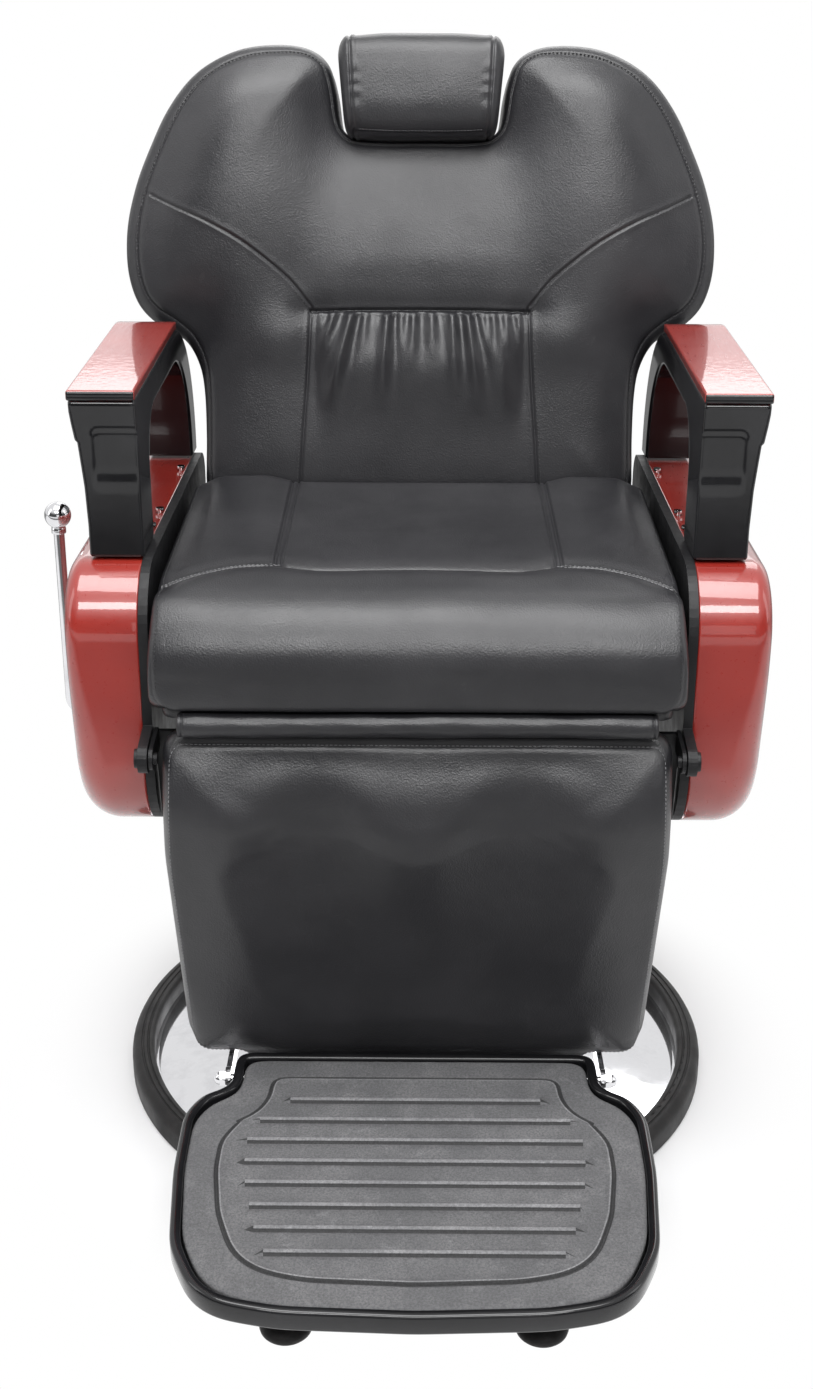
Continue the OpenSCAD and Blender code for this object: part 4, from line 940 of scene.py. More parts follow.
def gathers(x, v):
    """Height of the folds under the waist seam: each is a ridge with a valley beside it."""
    total = np.zeros(len(x))
    for top, drift, long, high, wide in GATHERS:
        down = (SEAM_V - v) / long
        center = top + drift * (SEAM_V - v)
        width = wide * (1 + 0.9 * np.clip(down, 0, 1))
        fade = ramp(0, 0.05, down) * np.clip(1 - down, 0, 1) ** 1.1
        ridge = bell(0, 1, (x - center) / width)
        valley = bell(0, 1, (x - center - 2.1 * width) / width)
        total += high * fade * (ridge - 0.55 * valley)
    return total


def back_height(pattern):
    """Forward height of the back's leather over its seam plane."""
    x, v, d = np.abs(pattern.points[:, 0]), pattern.points[:, 1], pattern.edge
    full = 1 - np.exp(-(d / 34) ** 1.4)
    rolled_edge = 3.2 * (1 - np.exp(-d / 2.2))
    wings = 22 * full * bell(218, 92, x) * ramp(40, 330, v)
    low_sides = 5 * full * bell(225, 60, x) * bell(60, 90, v)
    upper_middle = ramp(150, 84, x) * (7 - 0.075 * np.clip(v - 220, 0, 150)) * ramp(190, 262, v)
    lumbar = 15 * ramp(126, 96, x) * bell(132, 58, v)
    lumbar_ends = 5.5 * bell(164, 32, x) * bell(160, 34, v)
    waist = -5 * bell(SEAM_V, 13, v) * ramp(170, 120, x)
    folds = gathers(pattern.points[:, 0], v) * ramp(129, 118, x)
    return rolled_edge + 10 * full + wings + low_sides + upper_middle + lumbar + lumbar_ends + waist + folds


def make_back():
    """The back's padded cover, its seams, and the piping round its rear edge."""
    seam, normal, inset = back_outline(4.4)
    seams = [WAIST_SEAM]
    for line in (WING_SEAM, PANEL_SEAM):
        smooth = spline(line, 60)
        seams += [smooth, smooth * (-1, 1)]
    # The gathered panel gets finer triangles, and keeps its folds when the rest is puffed up
    gathered = ((-130, 66), (130, SEAM_V - 7), 2.4)
    pattern = Pattern(seam, seams, 5.6, gathered)
    height = back_height(pattern)
    for line in pattern.seams[1:]:
        height += seam_dip(pattern.points, line)
    height += seam_dip(pattern.points, pattern.seams[0], 4.2, 2.3, 0.9)
    sheet = np.column_stack([pattern.points[:, 0], SEAM_DEPTH - height, pattern.points[:, 1]])

    def upright(flat, deep):
        """2D points stood up at one depth of the back's own frame."""
        return np.column_stack([flat[:, 0], np.full(len(flat), float(deep)), flat[:, 1]])

    rings = [upright(seam + normal * inset * share, deep) for share, deep in BACK_SIDES]
    piece = cover("back_upholstery", pattern, sheet, rings, "black_leather")
    stay = held(piece, pattern)
    stay[:len(sheet)] |= (np.abs(pattern.points[:, 0]) < 130) & (pattern.points[:, 1] < SEAM_V + 2)
    puff(piece, stay, pressure=3, cap=8, even=30)
    set_points(piece, on_back(points_of(piece)))
    stand_in(piece, "back", "back_cushion")

    def beside(line, away):
        line = spline(line, 80)
        return line + sideways(line) * away

    runs = [beside(WING_SEAM, 3.4), beside(PANEL_SEAM, 3.8)]
    runs += [run * (-1, 1) for run in runs]
    sewn("back_seam_stitches", piece, runs, lambda line: on_back(upright(line, -12)), "back")
    rim = np.vstack([seam, seam[:1]]) + np.vstack([normal, normal[:1]]) * 2.6
    sewn("back_rim_stitches", piece, [rim], lambda line: on_back(upright(line, 7)), "back")

    border = seam + normal * (inset * 0.95 - 3.2)
    line = on_back(upright(border, PIPING_DEPTH))
    piping = tube("back_piping", line, PIPING_RADIUS, "black_leather", 12, closed=True)
    settle(piping, "back", "black_leather")


# ---- seat ------------------------------------------------------------------
# The seat's cover: half width, y of its front and rear, z of its lower edge and its top, and the radii of its
# front and rear
SEAT = dict(half=265, front=-239, rear=198, low=552.8, top=659.5, nose=60, tail=13)
# x of the two seams that run back beside the seat's middle panel
WELT_IN, WELT_OUT = 143.5, 150.5
# Crease between the seat's top and its front roll, as (x, y): across the middle, and on to the side
FOLD = [(-143, -106), (-128, -113), (-100, -120), (-50, -118), (0, -115), (55, -118), (104, -120),
        (129, -112), (143, -106)]
CREASE = [(144, -106), (168, -107), (194, -113), (224, -131), (248, -150), (264, -165)]


def seat_section():
    """Side view of the seat's cover, as (y, z): from its lower front edge over the top to its rear."""
    s = SEAT
    nose = arc((s["front"] + s["nose"], s["top"] - s["nose"]), s["nose"], 180, 90)
    tail = arc((s["rear"] - s["tail"], s["top"] - s["tail"]), s["tail"], 90, 0)
    foot = arc((s["front"] + 9, s["low"] + 9), 9, 240, 180, 5)
    heel = arc((s["rear"] - 9, s["low"] + 9), 9, 0, -60, 5)
    return Section(np.vstack([foot, nose, tail, heel]))


def seat_height(pattern, section, crease_line):
    """Height of the seat's leather over its section."""
    p = pattern.points
    x, d = np.abs(p[:, 0]), pattern.edge
    y, z = section.read(p[:, 1])[0].T
    on_top = ramp(SEAT["front"] + 5, SEAT["front"] + SEAT["nose"], y)
    padding = 3 * (1 - np.exp(-d / 2.2)) + 4.5 * (1 - np.exp(-(d / 30) ** 1.4))
    sides = on_top * 8 * ramp(138, 185, x) * ramp(-110, 130, y) * ramp(264, 232, x)
    hollow = -4.5 * ramp(150, 90, x) * ramp(-60, 60, y) * ramp(186, 120, y) * 0.6
    gap, side = to_line(p, crease_line)
    ahead = np.where(side < 0, 1.0, 0.0)
    valley = 1.6 * ahead * bell(24, 18, gap) - 4.5 * bell(0, 15, gap)
    front_fall = -5 * ramp(-140, -222, y) * ramp(600, 648, z)
    groove = 1.3 * ahead * bell(8, 5, gap) - 3.4 * bell(0, 4.2, gap)
    groove *= ramp(146, 132, x)
    strip = -1.3 * ramp(WELT_IN - 2, WELT_IN + 1, x) * ramp(WELT_OUT + 2, WELT_OUT - 1, x)
    strip *= (y > -104) & (z > 600)
    waves = 1.1 * np.sin(p[:, 0] / 47 + 0.6) + 0.8 * np.sin(p[:, 0] / 21)
    waves *= bell(-205, 40, y) * (z > 590)
    return padding + sides + hollow + valley + front_fall + groove + strip + waves


def make_seat():
    """The seat's padded cover, from the lower edge of its front roll over its top to its lower rear edge."""
    half, side_bulge = SEAT["half"], 6.5
    section = seat_section()
    on_top = section.line[:, 1] > 600

    def laid(line):
        """(x, y) on the seat's top, in the pattern's plane: x and arc length."""
        return np.array([(x, np.interp(y, section.line[on_top][:, 0], section.at[on_top])) for x, y in line])

    box = [(-half, 0), (half, 0), (half, section.length), (-half, section.length)]
    outline = closed_line(rounded(box, [26, 26, 20, 20]), 5.2)
    crease = spline(laid(CREASE), 40)
    creases = [crease * (-1, 1), crease]
    fold = spline(laid(FOLD), 80)
    start, middle = laid([(0, -105), (0, 60)])[:, 1]
    rear = section.length - 50
    welts = [np.array([(side * x, start), (side * (x - 0.5), middle), (side * (x - 1), rear)])
             for side in (-1, 1) for x in (WELT_IN, WELT_OUT)]
    pattern = Pattern(outline, [fold] + creases + welts, 6.2)
    height = seat_height(pattern, section, np.vstack([creases[0][::-1], fold, creases[1]]))
    for line in pattern.seams[1:3]:
        height += seam_dip(pattern.points, line, 2.4, 1.6, 0.8)
    for line in pattern.seams[3:]:
        height += seam_dip(pattern.points, line, 1.5, 1.3, 0.9)
    place, normal = section.read(pattern.points[:, 1])
    sheet = np.column_stack([pattern.points[:, 0], place + normal * height[:, None]])
    out = outward(outline)
    rim = sheet[:pattern.rim]
    foot_y = np.clip(rim[:, 1], SEAT["front"] + 12, SEAT["rear"] - 12)
    foot = np.column_stack([rim[:, 0] - out[:, 0] * 3, foot_y, np.full(len(rim), SEAT["low"] - 0.2)])
    rings = []
    for t in (0.02, 0.07, 0.15, 0.27, 0.42, 0.58, 0.74, 0.87, 0.96, 1.0):
        ring = rim + (foot - rim) * t
        ring[:, 0] += out[:, 0] * side_bulge * math.sin(math.pi * t) ** 0.6
        rings.append(ring)
    piece = cover("seat_upholstery", pattern, sheet, rings, "black_leather")
    stay = held(piece, pattern)
    # The lower half of the front roll keeps its shape
    stay[:len(sheet)] |= sheet[:, 2] < 590
    puff(piece, stay, pressure=2, cap=4)
    stand_in(piece, "seat", "seat_cushion")

    def over(line):
        yz, normal = section.read(line[:, 1])
        return np.column_stack([line[:, 0], yz + normal * 6])

    edge_run = np.array([(half - 2.6, v) for v in np.linspace(24, rear, 120)])
    sewn("seat_edge_stitches", piece, [edge_run, edge_run * (-1, 1)], over, "seat")
    runs = [line + sideways(line) * away for line in creases for away in (2.8, -2.8)]
    sewn("seat_crease_stitches", piece, runs, over, "seat", look="grey_thread")


def make_seat_wrap():
    """The seat's leather goes on down round the edge of its board, where it is stapled."""
    low, high = mm_box("seat_board")
    corners = [(low[0], low[1]), (high[0], low[1]), (high[0], high[1]), (low[0], high[1])]
    board = closed_line(rounded(corners, [12, 12, 12, 12]), 8)
    normal = outward(board)
    foot, top = low[2], high[2]
    # How far out from the board's edge, and how high
    levels = [(0.4, top - 0.4), (2.2, top - 0.4), (2.6, top - 5), (2.2, foot + 1), (1.4, foot), (0.4, foot),
              (0.4, top - 0.4)]
    rings = [flat_ring(board + normal * out, z) for out, z in levels]
    settle(skin("seat_underwrap", rings, "black_leather", True, caps=(False, False)), "seat", "black_leather")


# ---- leg rest --------------------------------------------------------------
# The leg rest's own frame hangs from its pivot: x, depth, and z up along it. Its half width, the z of its
# head, its length down from the pivot, the depths of its front and rear, the front seam's inset, and its lean
LEG = dict(half=262, head=18, length=384, front=-24, back=32, seam=8, lean=12)
# x of the middle of each of the two hollows that calves rest in
CALF_X = 106
# Its sides: share of the seam's inset outwards, and share of the way from the front seam to the rear
LEG_SIDES = [(0.08, 0.02), (0.3, 0.07), (0.6, 0.16), (0.88, 0.3), (1.0, 0.48), (1.0, 0.66), (0.9, 0.82),
             (0.7, 0.93), (0.4, 1)]


def on_leg(points):
    """From the leg rest's own frame to the chair's."""
    return placed(points, LEG["lean"], pivot("leg_raise"))


def leg_profile(z):
    """How far back the front seam lies: it curves away over the knee and under the lower roll."""
    over = np.clip((z + 72) / (LEG["head"] + 72), 0, 1)
    under = np.clip((-LEG["length"] + 22 - z) / 22, 0, 1)
    return 48 * over ** 2 - 8 * under


def leg_height(pattern):
    """Forward height of the leg rest's leather over its seam plane: two long hollows under a rounded knee."""
    x, z, d = np.abs(pattern.points[:, 0]), pattern.points[:, 1], pattern.edge
    up = z + LEG["length"]
    padding = 3 * (1 - np.exp(-d / 2.2)) + 8 * (1 - np.exp(-(d / 46) ** 1.25))
    knee = 6 * ramp(-300, -100, z) * (1 - np.exp(-(d / 60) ** 1.5))
    in_from_roll = np.maximum(np.minimum(up - 4, d), 0)
    low_roll = 9 * (1 - np.exp(-(in_from_roll / 10) ** 1.3)) * ramp(120, 24, up)
    middle = np.sqrt((np.abs(x - CALF_X) / 74) ** 2 + 0.04)
    scoop = np.exp(-middle ** 2.6)
    start = 6 - 44 * np.clip(middle, 0, 1.2) ** 2
    depth = ramp(0, 84, start - z) * (1 - 0.65 * ramp(110, 250, -z)) * ramp(20, 150, up)
    ridge = 5 * bell(0, 36, x) * bell(-105, 70, z)
    return padding + knee + low_roll - 17 * scoop * depth + ridge


def make_leg_rest():
    """The leg rest's padded cover, with a stitched edge."""
    half, head, long = LEG["half"], LEG["head"], LEG["length"]
    right = [(half - 7, -long), (half + 3, -120), (half - 2, head)]
    silhouette = mirrored(right)[1::-1] + right + mirrored(right)[2:]
    ring = closed_line(rounded(silhouette, [400, 30, 30, 400, 22, 22]), 5)
    # The middle of the lower edge sags a little
    ring[:, 1] -= 5 * ramp(197, 185, np.abs(ring[:, 0])) * ramp(-long + 30, -long, ring[:, 1])
    normal = outward(ring)
    inset = LEG["seam"] * (1 - 0.5 * ramp(0.3, 0.9, -normal[:, 1:]))
    seam = ring - normal * inset
    pattern = Pattern(seam, (), 6.2)
    z = pattern.points[:, 1]
    depth = LEG["front"] - 3 + leg_profile(z) - leg_height(pattern)
    sheet = np.column_stack([pattern.points[:, 0], depth, z])
    front = sheet[:pattern.rim, 1]
    rings = []
    for share, t in LEG_SIDES:
        flat = seam + normal * inset * share
        rings.append(np.column_stack([flat[:, 0], front + (LEG["back"] - front) * t, flat[:, 1]]))
    piece = cover("leg_upholstery", pattern, sheet, rings, "black_leather")
    puff(piece, held(piece, pattern), pressure=2, cap=4)
    set_points(piece, on_leg(points_of(piece)))
    stand_in(piece, "legrest", "leg_cushion")

    def before(line):
        return on_leg(np.column_stack([line[:, 0], LEG["front"] - 8 + leg_profile(line[:, 1]), line[:, 1]]))

    loop = np.vstack([seam, seam[:1]]) + np.vstack([normal, normal[:1]]) * 2.4
    sewn("leg_edge_stitches", piece, [loop], before, "legrest", look="grey_thread")


def make_leg_wrap():
    """The leather of the leg rest turned over its board's edge, with its hem on the board's rear."""
    half, top, low = LEG["half"] - 12, LEG["head"] - 7, 8 - LEG["length"]
    corners = [(half, top), (-half, top), (6 - half, low), (half - 6, low)]
    board = closed_line(rounded(corners, [14, 14, 26, 26]), 8)
    normal = outward(board)
    front, rear = LEG["back"] - 0.6, LEG["back"] + 12.3
    # How far out from the board's edge, and how deep
    steps = [(0.3, front), (2.0, front), (2.6, front + 5), (2.6, rear - 3), (1.8, rear + 0.7),
             (-1, rear + 1.3), (-17, rear + 1.1), (-18, rear + 0.2)]
    rings = []
    for out, deep in steps:
        flat = board + normal * out
        rings.append(on_leg(np.column_stack([flat[:, 0], np.full(len(flat), deep), flat[:, 1]])))
    settle(skin("leg_underwrap", rings, "black_leather", caps=(False, False)), "legrest", "black_leather")


# ---- lofts along x: the strip under the seat, and the headrest ---------------
def make_front_roll():
    """A padded strip with a gathered seam near each end."""
    low, high = mm_box("front_roll")
    half, y, z = high[0], (low[1] + high[1]) / 2, (low[2] + high[2]) / 2
    r = (high[1] - low[1]) / 2
    sides = 44
    # Shares of the half length and of the radius: a rounded end and its seam
    end = [(-1, 0.06), (-1, 0.5), (-1, 0.86), (-0.9985, 0.95), (-0.996, 1.0), (-0.988, 1.01), (-0.9815, 0.97),
           (-0.9795, 0.93), (-0.9775, 0.97), (-0.968, 1.01)]
    stations = end + [(t, 1.0) for t in np.linspace(-0.955, 0.955, 110)] + [(-t, k) for t, k in end[::-1]]
    angle = np.linspace(0, math.tau, sides, endpoint=False)
    points = []
    for t, k in stations:
        x = t * half
        soft = 0.35 * math.sin(x / 37 + 1) + 0.25 * math.sin(x / 14)
        ripple = 0.16 * np.sin(angle * 3 + x / 23) + 0.12 * np.sin(angle * 5 - x / 9)
        radius = (r - 0.5 + (soft + ripple) * (abs(t) < 0.95)) * k
        sag = 0.8 * math.sin(x / 90 + 0.5)
        points += [(x, y + q * math.cos(a), z + sag + q * 1.03 * math.sin(a)) for a, q in zip(angle, radius)]
    faces = [face[::-1] for face in ring_faces(len(stations), sides)]
    piece = new_mesh("roll_upholstery", points, faces, "black_leather")
    stand_in(piece, "seat", "front_roll")
    tree = tree_of(piece)
    a = np.linspace(math.radians(80), math.radians(290), 40)
    runs = []
    for x in (-half * 0.973, half * 0.973):
        run = np.column_stack([np.full(40, x), y + (r + 2) * np.cos(a), z + (r + 2) * np.sin(a)])
        runs.append(nearest(tree, run))
    stitches("roll_stitches", "seat", runs, "dark_thread", 2.2, 3.4, 0.35)


def make_pillow():
    """The headrest: a loft with a squarish section, a seam low on its front, and gathered end seams."""
    half = mm_box("headrest_cushion")[1][0]
    # Depth and height of its section, the height of its middle on the back, and the depth of its flat rear
    deep, tall, middle, rear = 84, 121, 449.5, 40
    columns, sides = 120, 120
    t = np.sin(np.linspace(-math.pi / 2, math.pi / 2, columns))[:, None]
    a = np.linspace(0, math.tau, sides, endpoint=False)[None, :]
    c, s = np.cos(a), np.sin(a)
    r = (np.abs(c) ** 3 + np.abs(s) ** 3) ** (-1 / 3)
    end = np.abs(t)
    # The end seams lie at this share of the half length; past them the ends are rounded
    seam_at = 0.865
    cap = np.sqrt(np.clip(1 - (np.clip(end - seam_at, 0, 1) / (1.0001 - seam_at)) ** 2, 0, 1))
    swell = 1 - 0.035 * ramp(0.35, seam_at, end)
    k = np.where(end < seam_at, swell, 0.965 * (0.60 + 0.40 * cap))
    dip = 0.7 * bell(seam_at - 0.045, 0.025, end) - 2.2 * bell(seam_at, 0.014, end)
    pucker = 0.75 * np.sin(a * 17 + 3 * np.sin(a * 4)) * bell(seam_at - 0.05, 0.06, end)
    pucker *= ramp(1.3, 0.4, np.abs(a - math.pi) * 0.8)
    low_seam = math.radians(236)
    gap = (a - low_seam) * 44
    line = 0.5 * bell(3.2, 1.8, gap) - 1.6 * bell(0, 1.5, gap)
    soft = 0.5 * np.sin(t * 3.1 + 1.2 * np.sin(a)) + 0.35 * np.sin(5 * t + 2 * a)
    radial = dip + pucker + line * (end < seam_at) + soft * (end < 0.8)
    y = (deep / 2 * k * r) * c + radial * c
    v = (tall / 2 * k * r) * s + radial * s
    x = t * half * (1 + 0.07 * (s * r - 1) / 2)
    points = np.stack([x + 0 * y, 8 + np.minimum(y, rear), middle + v], axis=-1)
    grid = on_back(points)
    faces = [face[::-1] for face in ring_faces(columns, sides)]
    piece = new_mesh("headrest_upholstery", grid.reshape(-1, 3), faces, "black_leather")
    stand_in(piece, "headrest", "headrest_cushion")
    tree = tree_of(piece)
    front = [k for k in range(sides) if 98 < math.degrees(a[0, k]) < 262]
    column = int(np.argmin(np.abs(t[:, 0] - seam_at + 0.035)))
    ends = [nearest(tree, grid[k, front]) for k in (column, columns - 1 - column)]
    stitches("pillow_end_stitches", "headrest", ends, "dark_thread", 2.6, 3.9, 0.4)
    row = int(np.argmin(np.abs(a[0] - low_seam + 0.07)))
    hem = nearest(tree, grid[columns - column:column, row])
    stitches("pillow_hem_stitches", "headrest", [hem], "grey_thread", 2.8, 3.8, 0.38)


# ---- hard pieces -----------------------------------------------------------
def skin(name, rings, look, flip=False, caps=(True, True)):
    """A hard piece from rings of equal length; its end caps, where it has them, are flat."""
    faces = ring_faces(len(rings), len(rings[0]), caps=caps)
    walls = len(faces) - sum(caps)
    if flip:
        faces = [face[::-1] for face in faces]
    piece = new_mesh(name, np.vstack(rings), faces, look)
    for face in piece.data.polygons[walls:]:
        face.use_smooth = False
    return piece


def lathe(name, profile, look, sides, center=(0, 0)):
    """Turned about an upright axis through a place, from (radius, z) points from its foot up the outside."""
    rings = [flat_ring(center[:2] + r * circle(sides), z) for r, z in profile]
    return skin(name, rings, look)


def flat_ring(ring, z):
    """2D points at one height."""
    return np.column_stack([ring, np.full(len(ring), float(z))])


def on_side(side, x, flat):
    """Points on the chair's side: flat holds (y, z) and x lies outwards."""
    return np.column_stack([side * (x + np.zeros(len(flat))), flat[:, 0], flat[:, 1]])


# How far the arms' and shells' lines fall from front to rear, and over what length
FALL, FALL_RUN = 21, 552


def make_shell(side, name):
    """A side shell: a lacquered, softly crowned panel with wide rounded edges and a narrow lip behind."""
    low, high = mm_box(name)
    inner, outer = sorted((abs(low[0]), abs(high[0])))
    front, rear, floor, top = low[1], high[1], low[2], high[2]
    crown = 1.2
    corners = [(front + 2, top), (front, floor), (rear, floor), (rear, top - FALL)]
    ring = closed_line(rounded(corners, [70, 92, 120, 36], 24), 7)
    normal = outward(ring)
    # Its edge is rounded more towards the floor, and a little more at the rear
    down = ramp(top - 80, floor + 40, ring[:, 1])
    back = ramp(rear - 60, rear - 10, ring[:, 0])
    radius = (17 + 26 * down + 8 * back * (1 - down))[:, None]
    # How far inside the outline, and how far out from the inner side
    lip = ((9, 30), (3.4, 26), (3.4, 0.6), (2.4, 0.1), (1.2, 0.1), (0.25, 0.9), (0, 2.4))
    rings = [on_side(side, inner + deep, ring - normal * edge) for edge, deep in lip]
    for turn in np.radians(np.linspace(0, 90, 15)):
        flat = ring - normal * radius * (1 - math.cos(turn))
        rings.append(on_side(side, outer - crown - radius[:, 0] * (1 - math.sin(turn)), flat))
    middle = np.array([(front + rear) / 2, (floor + top) / 2])
    rim = ring - normal * radius
    for share, rise in ((0.04, 0.25), (0.12, 0.55), (0.3, 0.95), (0.6, 1.15), (0.93, crown)):
        rings.append(on_side(side, outer - crown + rise, rim + (middle - rim) * share))
    piece = skin(name.replace("side_", "lacquer_"), rings, "red_lacquer", side < 0)
    settle(piece, "seat", "red_lacquer", name)


# An arm's outer face from its foot to its top: z, and how far out it lies
ARM_EDGE = [(600, 338), (715, 337), (756, 338.5), (778, 340.5), (804, 343), (805.4, 345.3), (822, 348),
            (834, 349.6), (846, 350)]
# Its inner face, in the same way
ARM_INSIDE = [(600, 281), (805, 282), (846, 283)]
# The panel sunk into its front: x of its outer side, z of its ends, its depth, and its corners' radius
RECESS = dict(outer=329, low=752, high=817, deep=2.4, corner=8)


def recess(x, z):
    """Depth of the panel sunk into an arm's front: its lower end ramps out, and its inner side is open."""
    r = RECESS
    middle, half = (r["low"] + r["high"]) / 2, (r["high"] - r["low"]) / 2
    across = np.maximum(x - r["outer"] + r["corner"], 0)
    up = np.maximum(np.abs(z - middle) - half + r["corner"], 0)
    gap = np.hypot(across, up) - r["corner"]
    slope = 0.1 + 0.9 * ramp(r["low"] + 2, r["low"] + 26, z)
    return r["deep"] * ramp(0.6, -4.5, gap) * slope


def arm_ring(name):
    """Side view of an arm, as a closed line of (y, z): the frame round its arched opening."""
    low, high = mm_box(name)
    front, rear, top = low[1], high[1], high[2]
    # Height of its foot at its front, its thickness over the opening, and the y of the opening's ends
    foot, wall, opening = 683, 34, (-60, 300)

    def foot_at(y):
        return foot - (y - front) * FALL / FALL_RUN

    outer = [(front, foot), (front, top), (rear, top), (rear, foot_at(rear))]
    arch = [(opening[0], foot_at(opening[0])), (opening[0], top - wall), (opening[1], top - wall),
            (opening[1], foot_at(opening[1]))]
    outer, arch = rounded(outer, [0, 5, 165, 0], 30), rounded(arch, [0, 58, 135, 0], 24)
    return closed_line(np.vstack([outer, arch[::-1]])[::-1], 2.6)


def make_arm(side, name):
    """An arm of gloss black plastic, with eased edges and a sunk panel on its front."""
    low, high = mm_box(name)
    front, rear = low[1], high[1]
    ring = arm_ring(name)
    kinks = [np.array([(front + 0.5, z), (rear - 0.5, z)]) for z in (804, 805.4)]
    pattern = Pattern(ring, kinks, 13)
    z = pattern.points[:, 1]
    edge, columns = 2.4, 34
    soft = edge - np.sqrt(np.maximum(edge ** 2 - np.maximum(edge - pattern.edge, 0) ** 2, 0))
    out = np.interp(z, *zip(*ARM_EDGE)) - soft
    inn = np.interp(z, *zip(*ARM_INSIDE)) + soft
    n = pattern.rim

    def standing(x, flat):
        """Points at these x; on the front face they move back where the panel is sunk."""
        moved = flat.copy()
        moved[:, 0] += recess(x, flat[:, 1]) * (flat[:, 0] < front + 0.6)
        return on_side(side, x, moved)

    points, faces = [standing(out, pattern.points)], list(pattern.faces)
    count = len(pattern.points)
    rows = [np.arange(n)]
    for k in range(1, columns):
        points.append(standing(out[:n] + (inn[:n] - out[:n]) * k / columns, pattern.points[:n]))
        rows.append(count + np.arange(n))
        count += n
    points.append(standing(inn, pattern.points))
    rows.append(count + np.arange(n))
    for last, row in zip(rows[:-1], rows[1:]):
        faces += quads(row, last)
    faces += [tuple(count + k for k in face[::-1]) for face in pattern.faces]
    if side < 0:
        faces = [face[::-1] for face in faces]
    piece = new_mesh(name.replace("arm", "arm_frame"), np.vstack(points), faces, "gloss_black")
    settle(piece, "seat", "gloss_black", name)


def make_cap(side, name):
    """Lacquered top of an arm: its front edge is left black."""
    low, high = mm_box(name)
    inner, outer = sorted((abs(low[0]), abs(high[0])))
    front, rear, top = low[1], high[1], high[2]
    thick, wrap, edge = 10, 165, 2.2
    arm_rear = mm_box(name.replace("_cap", ""))[1][1]
    center = (arm_rear - wrap, top - thick - wrap)
    turn = math.degrees(math.acos((rear - center[0]) / (wrap + thick)))
    over = arc(center, wrap + thick, turn, 90, 24)
    under = arc(center, wrap + 0.2, 90, turn, 24)
    nose = [(front + 1.5, top), (front, top - 1.5), (front, top - thick + 1.2), (front + 1.2, top - thick)]
    ring = closed_line(np.vstack([over, nose, under]), 2.5)
    normal = outward(ring)
    turns = np.radians((90, 68, 45, 22, 0))
    rounding = [(edge * (1 - math.sin(t)), ring - normal * edge * (1 - math.cos(t))) for t in turns]
    rings = [on_side(side, inner + x, flat) for x, flat in rounding]
    rings += [on_side(side, x, ring) for x in (inner + edge + 0.4, outer - edge - 0.4)]
    rings += [on_side(side, outer - x, flat) for x, flat in rounding[::-1]]
    piece = skin(name.replace("arm_cap", "cap_lacquer"), rings, "red_lacquer", side < 0)
    piece.data.materials.append(LOOKS["gloss_black"])
    for face in piece.data.polygons:
        if face.normal.y < -0.75 and face.center.y / MM < front + 2:
            face.material_index = 1
    settle(piece, "seat", "red_lacquer", name)


# ---- footrest --------------------------------------------------------------
# The footrest's own frame lies at its pivot: x, y to the rear, and z up from the middle of its plate. Its
# half widths at its neck and its middle, its lengths forwards and back, its rim's width, the thickness of its
# plate and of the plate's floor, and its slope
FOOT = dict(neck=199, half=247, length=360, back=34, rim=11, thick=22, floor=7, slope=4)
# Half lengths of the mat's ribs, from the first one at RIB_START on, RIB_STEP apart
RIB_HALF = (134, 164, 175, 175, 172, 165, 158, 146)
RIB_START, RIB_STEP = -46, -32.5


def foot_outline(d, step=4):
    """The footrest's outline, drawn in by d: waisted at its rear, and wide with a bowed front."""
    n, w, f, b = FOOT["neck"] - d, FOOT["half"] - d, -FOOT["length"] + d, FOOT["back"] - d
    half = [(0, f), (w * 0.52, f + 5), (w * 0.84, f + 22), (w - 8, f + 96), (w, -158), (w - 1, -70 - d),
            (n + 30, -38 - d), (n, -26 - d), (n, b)]
    corners = half + mirrored(half)[:0:-1]
    radii = [0, 160, 70, 60, 60, 34, 12, 16 + d, 8]
    ring = closed_line(rounded(corners, radii + radii[:0:-1], 10), step)
    # The corners run softly into one another
    for _ in range(14):
        ring = (np.roll(ring, 1, 0) + 2 * ring + np.roll(ring, -1, 0)) / 4
    return ring


def on_foot(points):
    """From the footrest's own frame to the chair's."""
    return placed(points, FOOT["slope"], pivot("footrest_fold"))


def paint_rib_light_and_shade(mat, pattern, loop, ribs):
    """Painted light and shade on the mat: faces in the grooves get a darker copy of the rubber as painted
    shade, and the ribs and one lip of the border groove get a lighter copy as painted highlight.
    """
    shade_copy, highlight_copy = 1, 2
    mat.data.materials.append(LOOKS["painted_shade_rubber"])
    mat.data.materials.append(LOOKS["painted_highlight_rubber"])
    middles = np.array([pattern.points[list(face)].mean(0) for face in pattern.faces])
    gap, side = to_line(middles, loop)
    look = np.where(gap < 2.3, shade_copy, np.where((gap < 4.1) & (side > 0), highlight_copy, 0))
    for line in ribs:
        gap, side = to_line(middles, line)
        # Painted highlight on each rib, and painted shade in the groove behind it
        look[gap < 2.45] = highlight_copy
        look[(gap > 2.45) & (gap < 4.6) & (side < 0)] = shade_copy
    for face, index in zip(mat.data.polygons, look):
        face.material_index = int(index)


def make_tray():
    """The footrest's plate: a tray of gloss black plastic with a raised, rounded rim."""
    ring = foot_outline(0)
    normal = outward(ring)
    top, rim = FOOT["thick"] / 2, FOOT["rim"]
    floor = FOOT["floor"] - top
    steps = [(6, -top), (1.5, -top), (0.4, -top + 0.5), (0, -top + 2), (0, top - 4.5), (0.4, top - 2.4),
             (1.5, top - 0.9), (3.2, top - 0.1), (rim - 4, top), (rim - 2, top - 0.3), (rim - 0.8, top - 1.1),
             (rim - 0.1, top - 2.6), (rim, top - 5), (rim, floor), (rim + 12, floor)]
    rings = [on_foot(flat_ring(ring - normal * d, z)) for d, z in steps]
    settle(skin("footrest_tray", rings, "gloss_black"), "footrest", "gloss_black", "footrest_plate")


